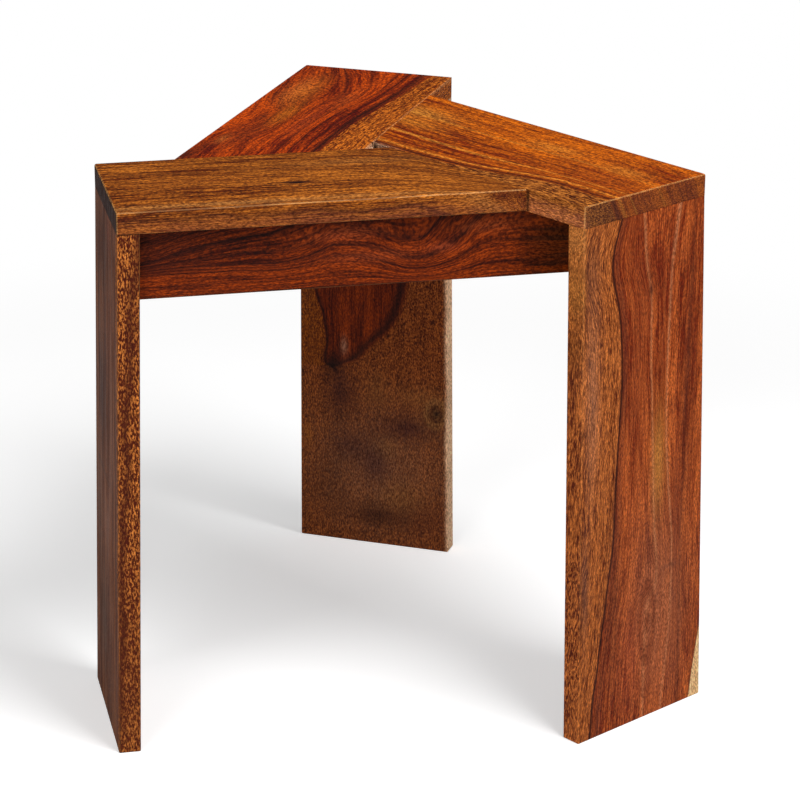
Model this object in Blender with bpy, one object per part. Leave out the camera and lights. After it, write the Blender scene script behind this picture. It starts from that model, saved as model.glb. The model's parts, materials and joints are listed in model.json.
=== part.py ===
"""Side table: three L-shaped arms in a pinwheel, in solid wood.

Each arm is a top board on a leg board. The boards' slanted inner ends butt on the next board's side and
leave a small triangular hole in the middle of the top. Three rails on edge tie the legs together.

Every piece is made in its arm's own plan: s runs outwards along the arm from the hole's centre, w runs
across it from the hole's side to the outer side, and z is up. An arm turned by a third of a turn is the
next arm, so the saw cuts that fit an arm to the next one are the same for all three.
"""

import math

import bmesh
import bpy
from mathutils import Matrix, Vector

# Overall sizes, in metres
TABLE_HEIGHT = 0.508
ARM_LENGTH = 0.260
HOLE_INSET = 0.007

# Top boards
BOARD_WIDTH = 0.153
BOARD_THICKNESS = 0.020

# Legs: a foot stands a little further out than its board, and is a little wider
LEG_THICKNESS = 0.020
LEG_SPLAY = 0.012
LEG_FLARE_INNER = 0.003
LEG_FLARE_OUTER = 0.006

# Rails
RAIL_HEIGHT = 0.063
RAIL_THICKNESS = 0.019
RAIL_SETBACK = 0.012

# Eased edges
EDGE_EASE = 0.0018
FOOT_EASE = 0.0010
EASE_SEGMENTS = 2
SHARPEST_UNEASED = math.radians(1)

# Fits
GLUE_GAP = 0.0003
HOLE_CLEARANCE = 0.0003
HOLE_RELIEF = 0.0010
CUT_OVERRUN = 0.010

# Wooden dowels, and how deep they go on each side of their joint
DOWEL_RADIUS = 0.004
DOWEL_CHAMFER = 0.0008
LEG_DOWEL_IN_BOARD = 0.012
LEG_DOWEL_IN_LEG = 0.025
SEAM_DOWEL_DEPTH = 0.016
RAIL_DOWEL_IN_LEG = 0.012
RAIL_DOWEL_IN_RAIL = 0.020
CORNER_DOWEL_RADIUS = 0.003
CORNER_DOWEL_IN_NEXT = 0.010
CORNER_DOWEL_IN_RAIL = 0.012

# Places along their joints, as shares of the joint's length
LEG_DOWEL_SHARES = (0.16, 0.50, 0.84)
SEAM_DOWEL_SHARES = (0.22, 0.50, 0.78)
RAIL_DOWEL_SHARES = (0.25, 0.75)
RAIL_SCREW_SHARES = (0.15, 0.50, 0.85)
MIDDLE_SHARE = 0.5

# Countersunk wood screws, driven up through each rail
SCREW_SHANK_RADIUS = 0.0021
SCREW_HEAD_RADIUS = 0.0042
SCREW_HEAD_HEIGHT = 0.0030
SCREW_HEAD_RIM = 0.0005
SCREW_RECESS_RADIUS = 0.0016
SCREW_RECESS_DEPTH = 0.0015
SCREW_TIP = 0.005
SCREW_IN_RAIL = 0.028
SCREW_IN_BOARD = 0.014
COUNTERBORE_RADIUS = 0.005

ROUND_SEGMENTS = 12
SMOOTH_SHADED_BELOW = math.radians(30)

# The arms, each a third of a turn on from the one before
ARM_NAMES = ("left", "front", "back")
FIRST_ARM_ANGLE = math.pi
THIRD_TURN = 2 * math.pi / 3

# Linear colours of the wood of each piece, and its roughness
WOOD_COLORS = {
    "top_board": {
        "left": (0.250, 0.115, 0.036),
        "front": (0.400, 0.135, 0.026),
        "back": (0.270, 0.070, 0.022),
    },
    "leg": {
        "left": (0.080, 0.043, 0.036),
        "front": (0.250, 0.065, 0.024),
        "back": (0.120, 0.046, 0.020),
    },
    "rail": {
        "left": (0.110, 0.020, 0.008),
        "front": (0.110, 0.020, 0.008),
        "back": (0.110, 0.020, 0.008),
    },
}
DOWEL_COLOR = (0.560, 0.400, 0.230)
STEEL_COLOR = (0.620, 0.630, 0.650)
WOOD_ROUGHNESS = 0.42
DOWEL_ROUGHNESS = 0.70
STEEL_ROUGHNESS = 0.35

# Sizes worked out from the ones above
BOARD_INNER = HOLE_INSET
BOARD_OUTER = HOLE_INSET + BOARD_WIDTH
BOARD_BOTTOM = TABLE_HEIGHT - BOARD_THICKNESS
LEG_TOP = BOARD_BOTTOM - GLUE_GAP
RAIL_TOP = BOARD_BOTTOM - GLUE_GAP
RAIL_BOTTOM = RAIL_TOP - RAIL_HEIGHT
RAIL_OUTER = BOARD_OUTER - RAIL_SETBACK
RAIL_INNER = RAIL_OUTER - RAIL_THICKNESS
RAIL_MIDDLE = RAIL_OUTER - RAIL_THICKNESS / 2
SEAM_START = HOLE_INSET / math.tan(THIRD_TURN / 4)
SEAM_LENGTH = BOARD_WIDTH / math.sin(THIRD_TURN)
SEAM_END = SEAM_START + SEAM_LENGTH


def leg_face(z, depth=0.0):
    """Where the leg's inner face is along the arm at height z, or a plane that lies depth further in."""
    return ARM_LENGTH - LEG_THICKNESS + LEG_SPLAY * (1 - z / LEG_TOP) - depth


def next_arm(s, w, z):
    """A point or a direction of the next arm's plan, in this arm's plan."""
    return Matrix.Rotation(THIRD_TURN, 3, "Z") @ Vector((s, w, z))


def plan_centre():
    """The middle of the table's footprint, seen from the hole's centre."""
    corners = []
    for number in range(len(ARM_NAMES)):
        turn = Matrix.Rotation(FIRST_ARM_ANGLE + number * THIRD_TURN, 3, "Z")
        for w in (BOARD_INNER - LEG_FLARE_INNER, BOARD_OUTER + LEG_FLARE_OUTER):
            corners.append(turn @ Vector((ARM_LENGTH + LEG_SPLAY, w, 0)))
        for w in (BOARD_INNER, BOARD_OUTER):
            corners.append(turn @ Vector((ARM_LENGTH, w, 0)))
    xs = [corner.x for corner in corners]
    ys = [corner.y for corner in corners]
    return Vector(((min(xs) + max(xs)) / 2, (min(ys) + max(ys)) / 2, 0))


def principled(name, color, roughness, metallic=0.0):
    material = bpy.data.materials.new(name)
    material.use_nodes = True
    shader = material.node_tree.nodes["Principled BSDF"]
    shader.inputs["Base Color"].default_value = (*color, 1.0)
    shader.inputs["Roughness"].default_value = roughness
    shader.inputs["Metallic"].default_value = metallic
    return material


def blank(s_range, w_range, z_range):
    """A rough block of wood with its sides along s, w and z."""
    bm = bmesh.new()
    bmesh.ops.create_cube(bm, size=1.0)
    ranges = (s_range, w_range, z_range)
    for vertex in bm.verts:
        for axis, (low, high) in enumerate(ranges):
            vertex.co[axis] = high if vertex.co[axis] > 0 else low
    return bm


def saw(bm, point, normal):
    """Cuts the block along a plane, and takes away what lies on the side that the normal points to."""
    geometry = bm.verts[:] + bm.edges[:] + bm.faces[:]
    cut = bmesh.ops.bisect_plane(bm, geom=geometry, plane_co=point, plane_no=normal, clear_outer=True)
    rim = [item for item in cut["geom_cut"] if isinstance(item, bmesh.types.BMEdge)]
    if rim:
        bmesh.ops.edgenet_fill(bm, edges=rim)
    bmesh.ops.recalc_face_normals(bm, faces=bm.faces[:])


def score(bm, point, normal):
    """Draws a line round the block along a plane, and takes nothing away."""
    geometry = bm.verts[:] + bm.edges[:] + bm.faces[:]
    bmesh.ops.bisect_plane(bm, geom=geometry, plane_co=point, plane_no=normal)


def mark_eased(bm, ease_share):
    """Gives each sharp edge the share of the easing that its middle and the axis it runs along call for."""
    weights = bm.edges.layers.float.new("bevel_weight_edge")
    for edge in bm.edges:
        middle = (edge.verts[0].co + edge.verts[1].co) / 2
        direction = edge.verts[1].co - edge.verts[0].co
        axis = max(zip((abs(part) for part in direction), "swz"))[1]
        flat = edge.calc_face_angle(0.0) < SHARPEST_UNEASED
        edge[weights] = 0.0 if flat else ease_share(middle, axis)


def add_object(name, bm, material, place):
    mesh = bpy.data.meshes.new(name)
    bm.to_mesh(mesh)
    bm.free()
    mesh.materials.append(material)
    piece = bpy.data.objects.new(name, mesh)
    bpy.context.scene.collection.objects.link(piece)
    piece.matrix_world = place
    return piece


def ease_edges(piece):
    bevel = piece.modifiers.new("eased_edges", "BEVEL")
    bevel.limit_method = "WEIGHT"
    bevel.offset_type = "OFFSET"
    bevel.width = EDGE_EASE
    bevel.segments = EASE_SEGMENTS
    bevel.use_clamp_overlap = True


def turned(bm, profile, place):
    """Adds a closed round solid: profile is (radius, height) pairs from one end of its axis to the other."""
    rings = []
    for radius, height in profile:
        if radius == 0:
            rings.append([bm.verts.new(place @ Vector((0, 0, height)))])
            continue
        ring = []
        for step in range(ROUND_SEGMENTS):
            angle = 2 * math.pi * step / ROUND_SEGMENTS
            point = Vector((radius * math.cos(angle), radius * math.sin(angle), height))
            ring.append(bm.verts.new(place @ point))
        rings.append(ring)
    for lower, upper in zip(rings, rings[1:]):
        for step in range(ROUND_SEGMENTS):
            after = (step + 1) % ROUND_SEGMENTS
            corners = [lower[step % len(lower)], lower[after % len(lower)]]
            corners += [upper[after % len(upper)], upper[step % len(upper)]]
            bm.faces.new(list(dict.fromkeys(corners)))


def along(start, direction):
    """A placement whose own +Z runs from start in direction."""
    return Matrix.Translation(start) @ direction.to_track_quat("Z", "Y").to_matrix().to_4x4()


def dowel_profile(radius, length):
    return [
        (0, 0),
        (radius - DOWEL_CHAMFER, 0),
        (radius, DOWEL_CHAMFER),
        (radius, length - DOWEL_CHAMFER),
        (radius - DOWEL_CHAMFER, length),
        (0, length),
    ]


def hole_profile(radius, length):
    """The drill's shape for a dowel: a little wider, and a little deeper at both ends."""
    wide = radius + HOLE_CLEARANCE
    return [(0, -HOLE_RELIEF), (wide, -HOLE_RELIEF), (wide, length + HOLE_RELIEF), (0, length + HOLE_RELIEF)]


def screw_profile():
    length = SCREW_IN_RAIL + SCREW_IN_BOARD
    return [
        (0, SCREW_RECESS_DEPTH),
        (SCREW_RECESS_RADIUS, 0),
        (SCREW_HEAD_RADIUS, 0),
        (SCREW_HEAD_RADIUS, SCREW_HEAD_RIM),
        (SCREW_SHANK_RADIUS, SCREW_HEAD_HEIGHT),
        (SCREW_SHANK_RADIUS, length - SCREW_TIP),
        (0, length),
    ]


def screw_hole_profile():
    """The counterbore from below the rail, the countersink, and the pilot hole up into the board."""
    length = SCREW_IN_RAIL + SCREW_IN_BOARD
    below = SCREW_IN_RAIL - RAIL_HEIGHT - CUT_OVERRUN
    pilot = SCREW_SHANK_RADIUS + HOLE_CLEARANCE
    head = SCREW_HEAD_RADIUS + HOLE_CLEARANCE
    return [
        (0, below),
        (COUNTERBORE_RADIUS, below),
        (COUNTERBORE_RADIUS, SCREW_HEAD_RIM),
        (head, SCREW_HEAD_RIM),
        (pilot, SCREW_HEAD_HEIGHT + HOLE_CLEARANCE),
        (pilot, length + HOLE_RELIEF),
        (0, length + HOLE_RELIEF),
    ]


class Joint:
    """A set of like fasteners across one joint: their places, their shape and the shape of their holes."""

    def __init__(self, places, profile, hole):
        self.places = places
        self.profile = profile
        self.hole = hole

    def solids(self):
        """One round solid for each place."""
        made = []
        for place in self.places:
            bm = bmesh.new()
            turned(bm, self.profile, place)
            bmesh.ops.recalc_face_normals(bm, faces=bm.faces[:])
            made.append(bm)
        return made

    def drill(self):
        """All the joint's holes as one cutter."""
        bm = bmesh.new()
        for place in self.places:
            turned(bm, self.hole, place)
        bmesh.ops.recalc_face_normals(bm, faces=bm.faces[:])
        return bm


def leg_dowel_joint():
    room = RAIL_INNER - BOARD_INNER
    length = LEG_DOWEL_IN_LEG + LEG_DOWEL_IN_BOARD
    places = []
    for share in LEG_DOWEL_SHARES:
        w = BOARD_INNER + share * room
        foot = Vector((ARM_LENGTH - LEG_THICKNESS / 2, w, LEG_TOP - LEG_DOWEL_IN_LEG))
        places.append(along(foot, Vector((0, 0, 1))))
    return Joint(places, dowel_profile(DOWEL_RADIUS, length), hole_profile(DOWEL_RADIUS, length))


def seam_dowel_joint():
    """Across the seam from this board's slanted end into the next board's side."""
    length = 2 * SEAM_DOWEL_DEPTH
    height = TABLE_HEIGHT - BOARD_THICKNESS / 2
    places = []
    for share in SEAM_DOWEL_SHARES:
        start = next_arm(SEAM_START + share * SEAM_LENGTH, BOARD_INNER - SEAM_DOWEL_DEPTH, height)
        places.append(along(start, next_arm(0, 1, 0)))
    return Joint(places, dowel_profile(DOWEL_RADIUS, length), hole_profile(DOWEL_RADIUS, length))


def rail_dowel_joint():
    length = RAIL_DOWEL_IN_RAIL + RAIL_DOWEL_IN_LEG
    places = []
    for share in RAIL_DOWEL_SHARES:
        z = RAIL_BOTTOM + share * RAIL_HEIGHT
        places.append(along(Vector((leg_face(z, RAIL_DOWEL_IN_RAIL), RAIL_MIDDLE, z)), Vector((1, 0, 0))))
    return Joint(places, dowel_profile(DOWEL_RADIUS, length), hole_profile(DOWEL_RADIUS, length))


def rail_end(z):
    """Where the middle of the rail reaches the next rail's side or the next leg's face, and the way into it.

    The rail's pointed end fits the corner between the two, and its middle reaches one of them first.
    """
    rail_side = (next_arm(0, RAIL_INNER, z), next_arm(0, 1, 0))
    leg_side = (next_arm(leg_face(z), 0, z), next_arm(1, 0, 0))
    meetings = []
    for point, inwards in (rail_side, leg_side):
        middle = Vector((0, RAIL_MIDDLE, z))
        middle.x = (point - middle).dot(inwards) / inwards.x
        meetings.append((middle, inwards))
    return max(meetings, key=lambda meeting: meeting[0].x)


def corner_dowel_joint():
    length = CORNER_DOWEL_IN_RAIL + CORNER_DOWEL_IN_NEXT
    seat, inwards = rail_end(RAIL_BOTTOM + MIDDLE_SHARE * RAIL_HEIGHT)
    places = [along(seat - inwards * CORNER_DOWEL_IN_RAIL, inwards)]
    profile = dowel_profile(CORNER_DOWEL_RADIUS, length)
    return Joint(places, profile, hole_profile(CORNER_DOWEL_RADIUS, length))


def rail_screw_joint():
    start = leg_face(RAIL_TOP)
    end = rail_end(RAIL_TOP)[0].x
    places = []
    for share in RAIL_SCREW_SHARES:
        head = Vector((start + share * (end - start), RAIL_MIDDLE, RAIL_TOP - SCREW_IN_RAIL))
        places.append(along(head, Vector((0, 0, 1))))
    return Joint(places, screw_profile(), screw_hole_profile())


JOINTS = {
    "leg_dowel": leg_dowel_joint(),
    "seam_dowel": seam_dowel_joint(),
    "rail_dowel": rail_dowel_joint(),
    "corner_dowel": corner_dowel_joint(),
    "rail_screw": rail_screw_joint(),
}


def top_board():
    """A flat board whose inner end is sawn along the next board's side."""
    s_range = (-SEAM_END - CUT_OVERRUN, ARM_LENGTH)
    bm = blank(s_range, (BOARD_INNER, BOARD_OUTER), (BOARD_BOTTOM, TABLE_HEIGHT))
    saw(bm, next_arm(0, BOARD_INNER - GLUE_GAP, 0), next_arm(0, 1, 0))
    score(bm, Vector((SEAM_END, 0, 0)), Vector((1, 0, 0)))
    score(bm, Vector((ARM_LENGTH - LEG_THICKNESS, 0, 0)), Vector((1, 0, 0)))

    def ease_share(middle, axis):
        at_end = middle.x > ARM_LENGTH - GLUE_GAP
        at_top = middle.z > TABLE_HEIGHT - GLUE_GAP
        outer_side = middle.y > BOARD_OUTER - GLUE_GAP
        inner_side = middle.y < BOARD_INNER + GLUE_GAP and middle.x > SEAM_END
        over_leg = middle.x > ARM_LENGTH - LEG_THICKNESS
        if axis == "z":
            return 1.0 if at_end else 0.0
        if at_top:
            return 1.0 if at_end or outer_side or inner_side else 0.0
        return 1.0 if (outer_side or inner_side) and not over_leg else 0.0

    mark_eased(bm, ease_share)
    return bm


def leg():
    """A leg board under the outer end of its top board, sawn so that its foot stands out and is wider."""
    s_range = (ARM_LENGTH - LEG_THICKNESS - CUT_OVERRUN, ARM_LENGTH + LEG_SPLAY + CUT_OVERRUN)
    w_range = (BOARD_INNER - LEG_FLARE_INNER - CUT_OVERRUN, BOARD_OUTER + LEG_FLARE_OUTER + CUT_OVERRUN)
    bm = blank(s_range, w_range, (0, LEG_TOP))
    saw(bm, Vector((ARM_LENGTH, 0, LEG_TOP)), Vector((LEG_TOP, 0, LEG_SPLAY)).normalized())
    inner_face = Vector((-LEG_TOP, 0, -LEG_SPLAY)).normalized()
    saw(bm, Vector((ARM_LENGTH - LEG_THICKNESS, 0, LEG_TOP)), inner_face)
    saw(bm, Vector((0, BOARD_OUTER, LEG_TOP)), Vector((0, LEG_TOP, LEG_FLARE_OUTER)).normalized())
    saw(bm, Vector((0, BOARD_INNER, LEG_TOP)), Vector((0, -LEG_TOP, LEG_FLARE_INNER)).normalized())

    def ease_share(middle, axis):
        if axis == "z":
            return 1.0
        return FOOT_EASE / EDGE_EASE if middle.z < GLUE_GAP else 0.0

    mark_eased(bm, ease_share)
    return bm


def rail():
    """A board on edge from its own leg's inner face to the corner between the next leg and the next rail."""
    s_range = (-ARM_LENGTH - CUT_OVERRUN, ARM_LENGTH)
    bm = blank(s_range, (RAIL_INNER, RAIL_OUTER), (RAIL_BOTTOM, RAIL_TOP))
    leg_side = Vector((LEG_TOP, 0, LEG_SPLAY)).normalized()
    saw(bm, Vector((leg_face(RAIL_TOP, GLUE_GAP), 0, RAIL_TOP)), leg_side)
    saw(bm, next_arm(leg_face(RAIL_TOP, GLUE_GAP), 0, RAIL_TOP), next_arm(*leg_side))
    saw(bm, next_arm(0, RAIL_INNER - GLUE_GAP, 0), next_arm(0, 1, 0))

    def ease_share(middle, axis):
        return 1.0 if axis == "s" and middle.z < RAIL_BOTTOM + GLUE_GAP else 0.0

    mark_eased(bm, ease_share)
    return bm


BOARD_KINDS = {"top_board": top_board, "leg": leg, "rail": rail}

# Which pieces each joint is drilled into: its own arm's, and the next arm's
OWN_ARM_HOLES = {
    "leg_dowel": ("top_board", "leg"),
    "seam_dowel": ("top_board",),
    "rail_dowel": ("rail", "leg"),
    "corner_dowel": ("rail",),
    "rail_screw": ("rail", "top_board"),
}
NEXT_ARM_HOLES = {
    "seam_dowel": ("top_board",),
    "corner_dowel": ("rail", "leg"),
    "rail_screw": ("top_board",),
}


def clear_scene():
    for piece in list(bpy.data.objects):
        bpy.data.objects.remove(piece, do_unlink=True)


def round_shading(piece):
    piece.data.shade_smooth()
    piece.data.set_sharp_from_angle(angle=SMOOTH_SHADED_BELOW)


def drill_holes(piece, drill):
    cut = piece.modifiers.new(drill.name, "BOOLEAN")
    cut.operation = "DIFFERENCE"
    cut.solver = "EXACT"
    cut.object = drill


def build():
    clear_scene()
    to_middle = Matrix.Translation(-plan_centre())
    cutter_finish = principled("drill_guide", STEEL_COLOR, STEEL_ROUGHNESS)
    dowel_wood = principled("beech_dowel", DOWEL_COLOR, DOWEL_ROUGHNESS)
    steel = principled("zinc_plated_steel", STEEL_COLOR, STEEL_ROUGHNESS, metallic=1.0)
    boards = {}
    drills = {}
    for number, arm in enumerate(ARM_NAMES):
        place = to_middle @ Matrix.Rotation(FIRST_ARM_ANGLE + number * THIRD_TURN, 4, "Z")
        for kind, make in BOARD_KINDS.items():
            name = f"{kind}_{arm}"
            finish = principled(f"{name}_wood", WOOD_COLORS[kind][arm], WOOD_ROUGHNESS)
            boards[kind, number] = add_object(name, make(), finish, place)
            ease_edges(boards[kind, number])
        for kind, joint in JOINTS.items():
            fastener_finish = steel if kind == "rail_screw" else dowel_wood
            for count, solid in enumerate(joint.solids(), start=1):
                round_shading(add_object(f"{kind}_{arm}_{count}", solid, fastener_finish, place))
            drill = add_object(f"{kind}_{arm}_drill", joint.drill(), cutter_finish, place)
            drill.hide_render = True
            drill.display_type = "WIRE"
            drills[kind, number] = drill
    for (kind, number), drill in drills.items():
        for board_kind in OWN_ARM_HOLES[kind]:
            drill_holes(boards[board_kind, number], drill)
        for board_kind in NEXT_ARM_HOLES.get(kind, ()):
            drill_holes(boards[board_kind, (number + 1) % len(ARM_NAMES)], drill)


build()
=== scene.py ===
# %% [markdown]
# # A side table in Indian rosewood
#
# The real table is nine planks of sheesham, which is Indian rosewood, planed, glued and lacquered. Three
# arms go round a small hole like a pinwheel: each has a flat board on top and a leg board under its outer
# end, and three rails on edge tie the arms together below. Dowels and screws hide inside the joints.
#
# The solids come from the frame, which stays as it is. This file makes what the eye sees: planks with
# rounded edges, wood that is drawn all through the plank and not only on its faces, and soft daylight.

# %% Load the frame
import json
import math
from dataclasses import dataclass, replace

import bmesh
import bpy
import numpy as np
from mathutils import Matrix, Vector


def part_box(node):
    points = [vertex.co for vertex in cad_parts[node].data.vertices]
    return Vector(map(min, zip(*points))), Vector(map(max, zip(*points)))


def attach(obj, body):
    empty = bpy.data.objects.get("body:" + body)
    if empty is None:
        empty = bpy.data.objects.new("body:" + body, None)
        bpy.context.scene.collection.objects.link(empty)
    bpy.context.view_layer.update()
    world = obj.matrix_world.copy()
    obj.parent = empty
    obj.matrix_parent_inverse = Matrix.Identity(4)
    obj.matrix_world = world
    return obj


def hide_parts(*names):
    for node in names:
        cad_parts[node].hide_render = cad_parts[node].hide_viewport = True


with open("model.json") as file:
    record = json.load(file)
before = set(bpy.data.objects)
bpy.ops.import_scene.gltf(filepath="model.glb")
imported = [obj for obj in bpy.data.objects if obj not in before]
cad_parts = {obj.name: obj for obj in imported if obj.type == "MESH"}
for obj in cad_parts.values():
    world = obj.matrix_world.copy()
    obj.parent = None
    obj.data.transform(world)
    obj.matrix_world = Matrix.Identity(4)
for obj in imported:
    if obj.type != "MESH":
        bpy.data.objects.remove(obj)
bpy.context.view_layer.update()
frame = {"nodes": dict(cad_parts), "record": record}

nodes = frame["nodes"]
print(len(nodes), "solids in the frame")

# %% [markdown]
# ## Units and colours
# Sizes are written in millimetres and colours as the hex values of a colour picker. Blender works in
# metres and in linear light, so one small function turns each into what Blender wants.


# %% Millimetres to metres, hex to linear colour
MM_PER_METRE = 1000
BRIGHTEST = 255
# The sRGB curve is straight up to the end of its toe, and a power curve above it
TOE_END = 0.04045
TOE_SLOPE = 12.92
CURVE_OFFSET = 0.055
CURVE_POWER = 2.4


def mm(size):
    """Metres from millimetres."""
    return size / MM_PER_METRE


def in_mm(size):
    """Millimetres from metres, rounded, for what the cells print."""
    return round(size * MM_PER_METRE, 1)


def linear(hex_colour):
    """A linear RGBA colour from an sRGB hex value such as "8C4D1F"."""
    channels = []
    for start in (0, 2, 4):
        value = int(hex_colour[start:start + 2], 16) / BRIGHTEST
        if value <= TOE_END:
            channels.append(value / TOE_SLOPE)
        else:
            channels.append(((value + CURVE_OFFSET) / (1 + CURVE_OFFSET)) ** CURVE_POWER)
    return (*channels, 1.0)


print("a mid brown in linear light:", [round(value, 3) for value in linear("8C4D1F")])


# %% [markdown]
# ## Where the arms are
# An arm has its own plan: s runs outwards along it, w runs across it from the hole's side to its outer
# side, and z is up. The three feet stand evenly round the pinwheel's centre, so the centre is the mean of
# the feet's places in the record. The left arm points along -X, and each next arm is a third of a turn on.

# %% The pinwheel's centre and the arms' turns
ARMS = ("left", "front", "back")
FIRST_ARM_TURN = math.pi
THIRD_TURN = 2 * math.pi / 3

mounts = {mount["name"]: Vector(mount["pos_m"]) for mount in frame["record"]["mounts"]}
centre = sum((mounts[f"floor_{arm}"] for arm in ARMS), Vector()) / len(ARMS)
arm_place = {}
for number, arm in enumerate(ARMS):
    turn = Matrix.Rotation(FIRST_ARM_TURN + number * THIRD_TURN, 4, "Z")
    arm_place[arm] = Matrix.Translation(centre) @ turn
print("centre of the pinwheel, mm:", [in_mm(value) for value in centre])


def arm_box(node, arm):
    """A solid's lowest and highest corners in its arm's plan."""
    to_plan = arm_place[arm].inverted()
    corners = np.array([to_plan @ vertex.co for vertex in nodes[node].data.vertices])
    return Vector(corners.min(0)), Vector(corners.max(0))


board_low, board_high = arm_box("top_board_left", "left")
leg_low, leg_high = arm_box("leg_left", "left")
rail_low, rail_high = arm_box("rail_left", "left")
print("board width and thickness, mm:", [in_mm(v) for v in (board_high - board_low)[1:]])

# %% [markdown]
# ## The camera
# The photograph looks down on the table from the front, a little to its left, from almost three metres
# off with a long lens. A long lens keeps the legs nearly parallel, as they are there.

# %% Camera
CAMERA_PLACE = Vector((-0.56745, -2.72720, 1.28957))
CAMERA_YAW = 0.21502
CAMERA_PITCH = -0.35899
CAMERA_ROLL = 0.00459
CAMERA_SENSOR = 36.0
CAMERA_LENS = 140.01
QUARTER_TURN = math.pi / 2

lens = bpy.data.cameras.new("camera")
lens.sensor_width = CAMERA_SENSOR
lens.lens = CAMERA_LENS
camera = bpy.data.objects.new("camera", lens)
bpy.context.scene.collection.objects.link(camera)
heading = Matrix.Rotation(-CAMERA_YAW, 4, "Z")
tilt = Matrix.Rotation(QUARTER_TURN + CAMERA_PITCH, 4, "X")
roll = Matrix.Rotation(CAMERA_ROLL, 4, "Z")
camera.matrix_world = Matrix.Translation(CAMERA_PLACE) @ heading @ tilt @ roll
bpy.context.scene.camera = camera
bpy.context.scene.view_settings.view_transform = "Standard"
table_middle = Vector((0, 0, leg_high.z / 2))
print("camera to the table's middle, m:", round((CAMERA_PLACE - table_middle).length, 2))

# %% [markdown]
# ## Adding nodes
# Every material and every Geometry Nodes tree here is built by one small function. It adds a node, sets
# its settings, and feeds its inputs with values or with other nodes' outputs. The nodes could be laid out
# by hand in Blender's editor instead, but in a script they can be read, compared and changed in one place.


# %% One function that adds a node
MATH = "ShaderNodeMath"
VECTOR_MATH = "ShaderNodeVectorMath"
MAP_RANGE = "ShaderNodeMapRange"
COMBINE = "ShaderNodeCombineXYZ"
SEPARATE = "ShaderNodeSeparateXYZ"
TEX_COORD = "ShaderNodeTexCoord"
LIGHT_PATH = "ShaderNodeLightPath"
ATTRIBUTE = "ShaderNodeAttribute"
NOISE = "ShaderNodeTexNoise"
BUMP = "ShaderNodeBump"
MIX = "ShaderNodeMix"
# A Mix node has sockets for every kind of data, so these are known by their numbers
MIX_SHARE = 0
FLOAT_A = 2
FLOAT_B = 3
COLOUR_A = 6
COLOUR_B = 7
COLOUR_OUT = 2


def feed(tree, socket, value):
    """Sets an input, or links another node's output to it."""
    if isinstance(value, bpy.types.NodeSocket):
        tree.links.new(value, socket)
    elif value is not None:
        socket.default_value = value


def add(tree, kind, inputs=(), out=0, **settings):
    """Adds a node and returns one of its outputs.

    The inputs are a list in order, or a dict by name or number.
    """
    node = tree.nodes.new(kind)
    for name, value in settings.items():
        setattr(node, name, value)
    pairs = inputs.items() if isinstance(inputs, dict) else enumerate(inputs)
    for key, value in pairs:
        feed(tree, node.inputs[key], value)
    return node.outputs[out] if node.outputs else node


def new_material(name):
    """An empty node material, its tree and its Principled shader."""
    material = bpy.data.materials.new(name)
    material.use_nodes = True
    tree = material.node_tree
    return material, tree, tree.nodes["Principled BSDF"]


# %% [markdown]
# ## Floor and light
# The table stands in a white studio. A big soft lamp at the front right throws the soft shadow that falls
# to the left and behind, a wide one in front fills the upright faces, and a dim sky lights the rest. The
# sky is darkest at the horizon, as with black cloths round a studio, so that the tops shine without a veil.
# To the camera, part of the floor's light is its own, and all of it further out. So the ground is white up
# to the horizon with a pale shadow on it, while the wood gets only what the lamps and a grey floor give.
# No glass or bare metal is in view, so nothing else needs to mirror that white.

# %% Floor
WHITE = linear("FFFFFF")
FLOOR_HALF_SIDE = 30.0
FLOOR_GREY = (0.45, 0.45, 0.45, 1.0)
FLOOR_SEEN = (1.45, 1.45, 1.45, 1.0)
OWN_LIGHT_SHARE = 0.36
SHADOW_REACH = 0.75
WHITE_FROM = 1.30

bm = bmesh.new()
corners = [(-1, -1), (1, -1), (1, 1), (-1, 1)]
bm.faces.new([bm.verts.new((x * FLOOR_HALF_SIDE, y * FLOOR_HALF_SIDE, 0)) for x, y in corners])
floor_mesh = bpy.data.meshes.new("floor")
bm.to_mesh(floor_mesh)
bm.free()
floor = bpy.data.objects.new("floor", floor_mesh)
bpy.context.scene.collection.objects.link(floor)

floor_paper, tree, shader = new_material("white_paper_floor")
tree.nodes.remove(shader)
ray = tree.nodes.new(LIGHT_PATH).outputs["Is Camera Ray"]
spot = tree.nodes.new(TEX_COORD).outputs["Object"]
far = add(tree, VECTOR_MATH, [spot], "Value", operation="LENGTH")
own = add(tree, MAP_RANGE, [far, SHADOW_REACH, WHITE_FROM, OWN_LIGHT_SHARE, 1.0],
          interpolation_type="SMOOTHSTEP")
own = add(tree, MATH, [own, ray], operation="MULTIPLY")
colour = add(tree, MIX, {MIX_SHARE: ray, COLOUR_A: FLOOR_GREY, COLOUR_B: FLOOR_SEEN}, COLOUR_OUT,
             data_type="RGBA")
matte = add(tree, "ShaderNodeBsdfDiffuse", {"Color": colour})
white = add(tree, "ShaderNodeEmission", {"Strength": 1.0})
paper = add(tree, "ShaderNodeMixShader", [own, matte, white])
tree.links.new(paper, tree.nodes["Material Output"].inputs["Surface"])
floor.data.materials.append(floor_paper)
print("floor:", 2 * FLOOR_HALF_SIDE, "m square,", len(tree.nodes), "nodes")

# %% Lamps and sky
SKY_AT_HORIZON = 0.02
SKY_OVERHEAD = 0.42
LAMPS = {
    # name: (place, size, power in watts)
    "key_softbox": ((0.84, -1.39, 2.65), 1.20, 62.0),
    "fill_softbox": ((-2.00, -2.00, 1.40), 2.00, 43.0),
}


def add_lamp(name, place, size, power):
    """A square softbox that points at the table."""
    light = bpy.data.lights.new(name, "AREA")
    light.size = size
    light.energy = power
    lamp = bpy.data.objects.new(name, light)
    bpy.context.scene.collection.objects.link(lamp)
    aim = table_middle - Vector(place)
    lamp.matrix_world = Matrix.Translation(place) @ aim.to_track_quat("-Z", "Y").to_matrix().to_4x4()


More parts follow.
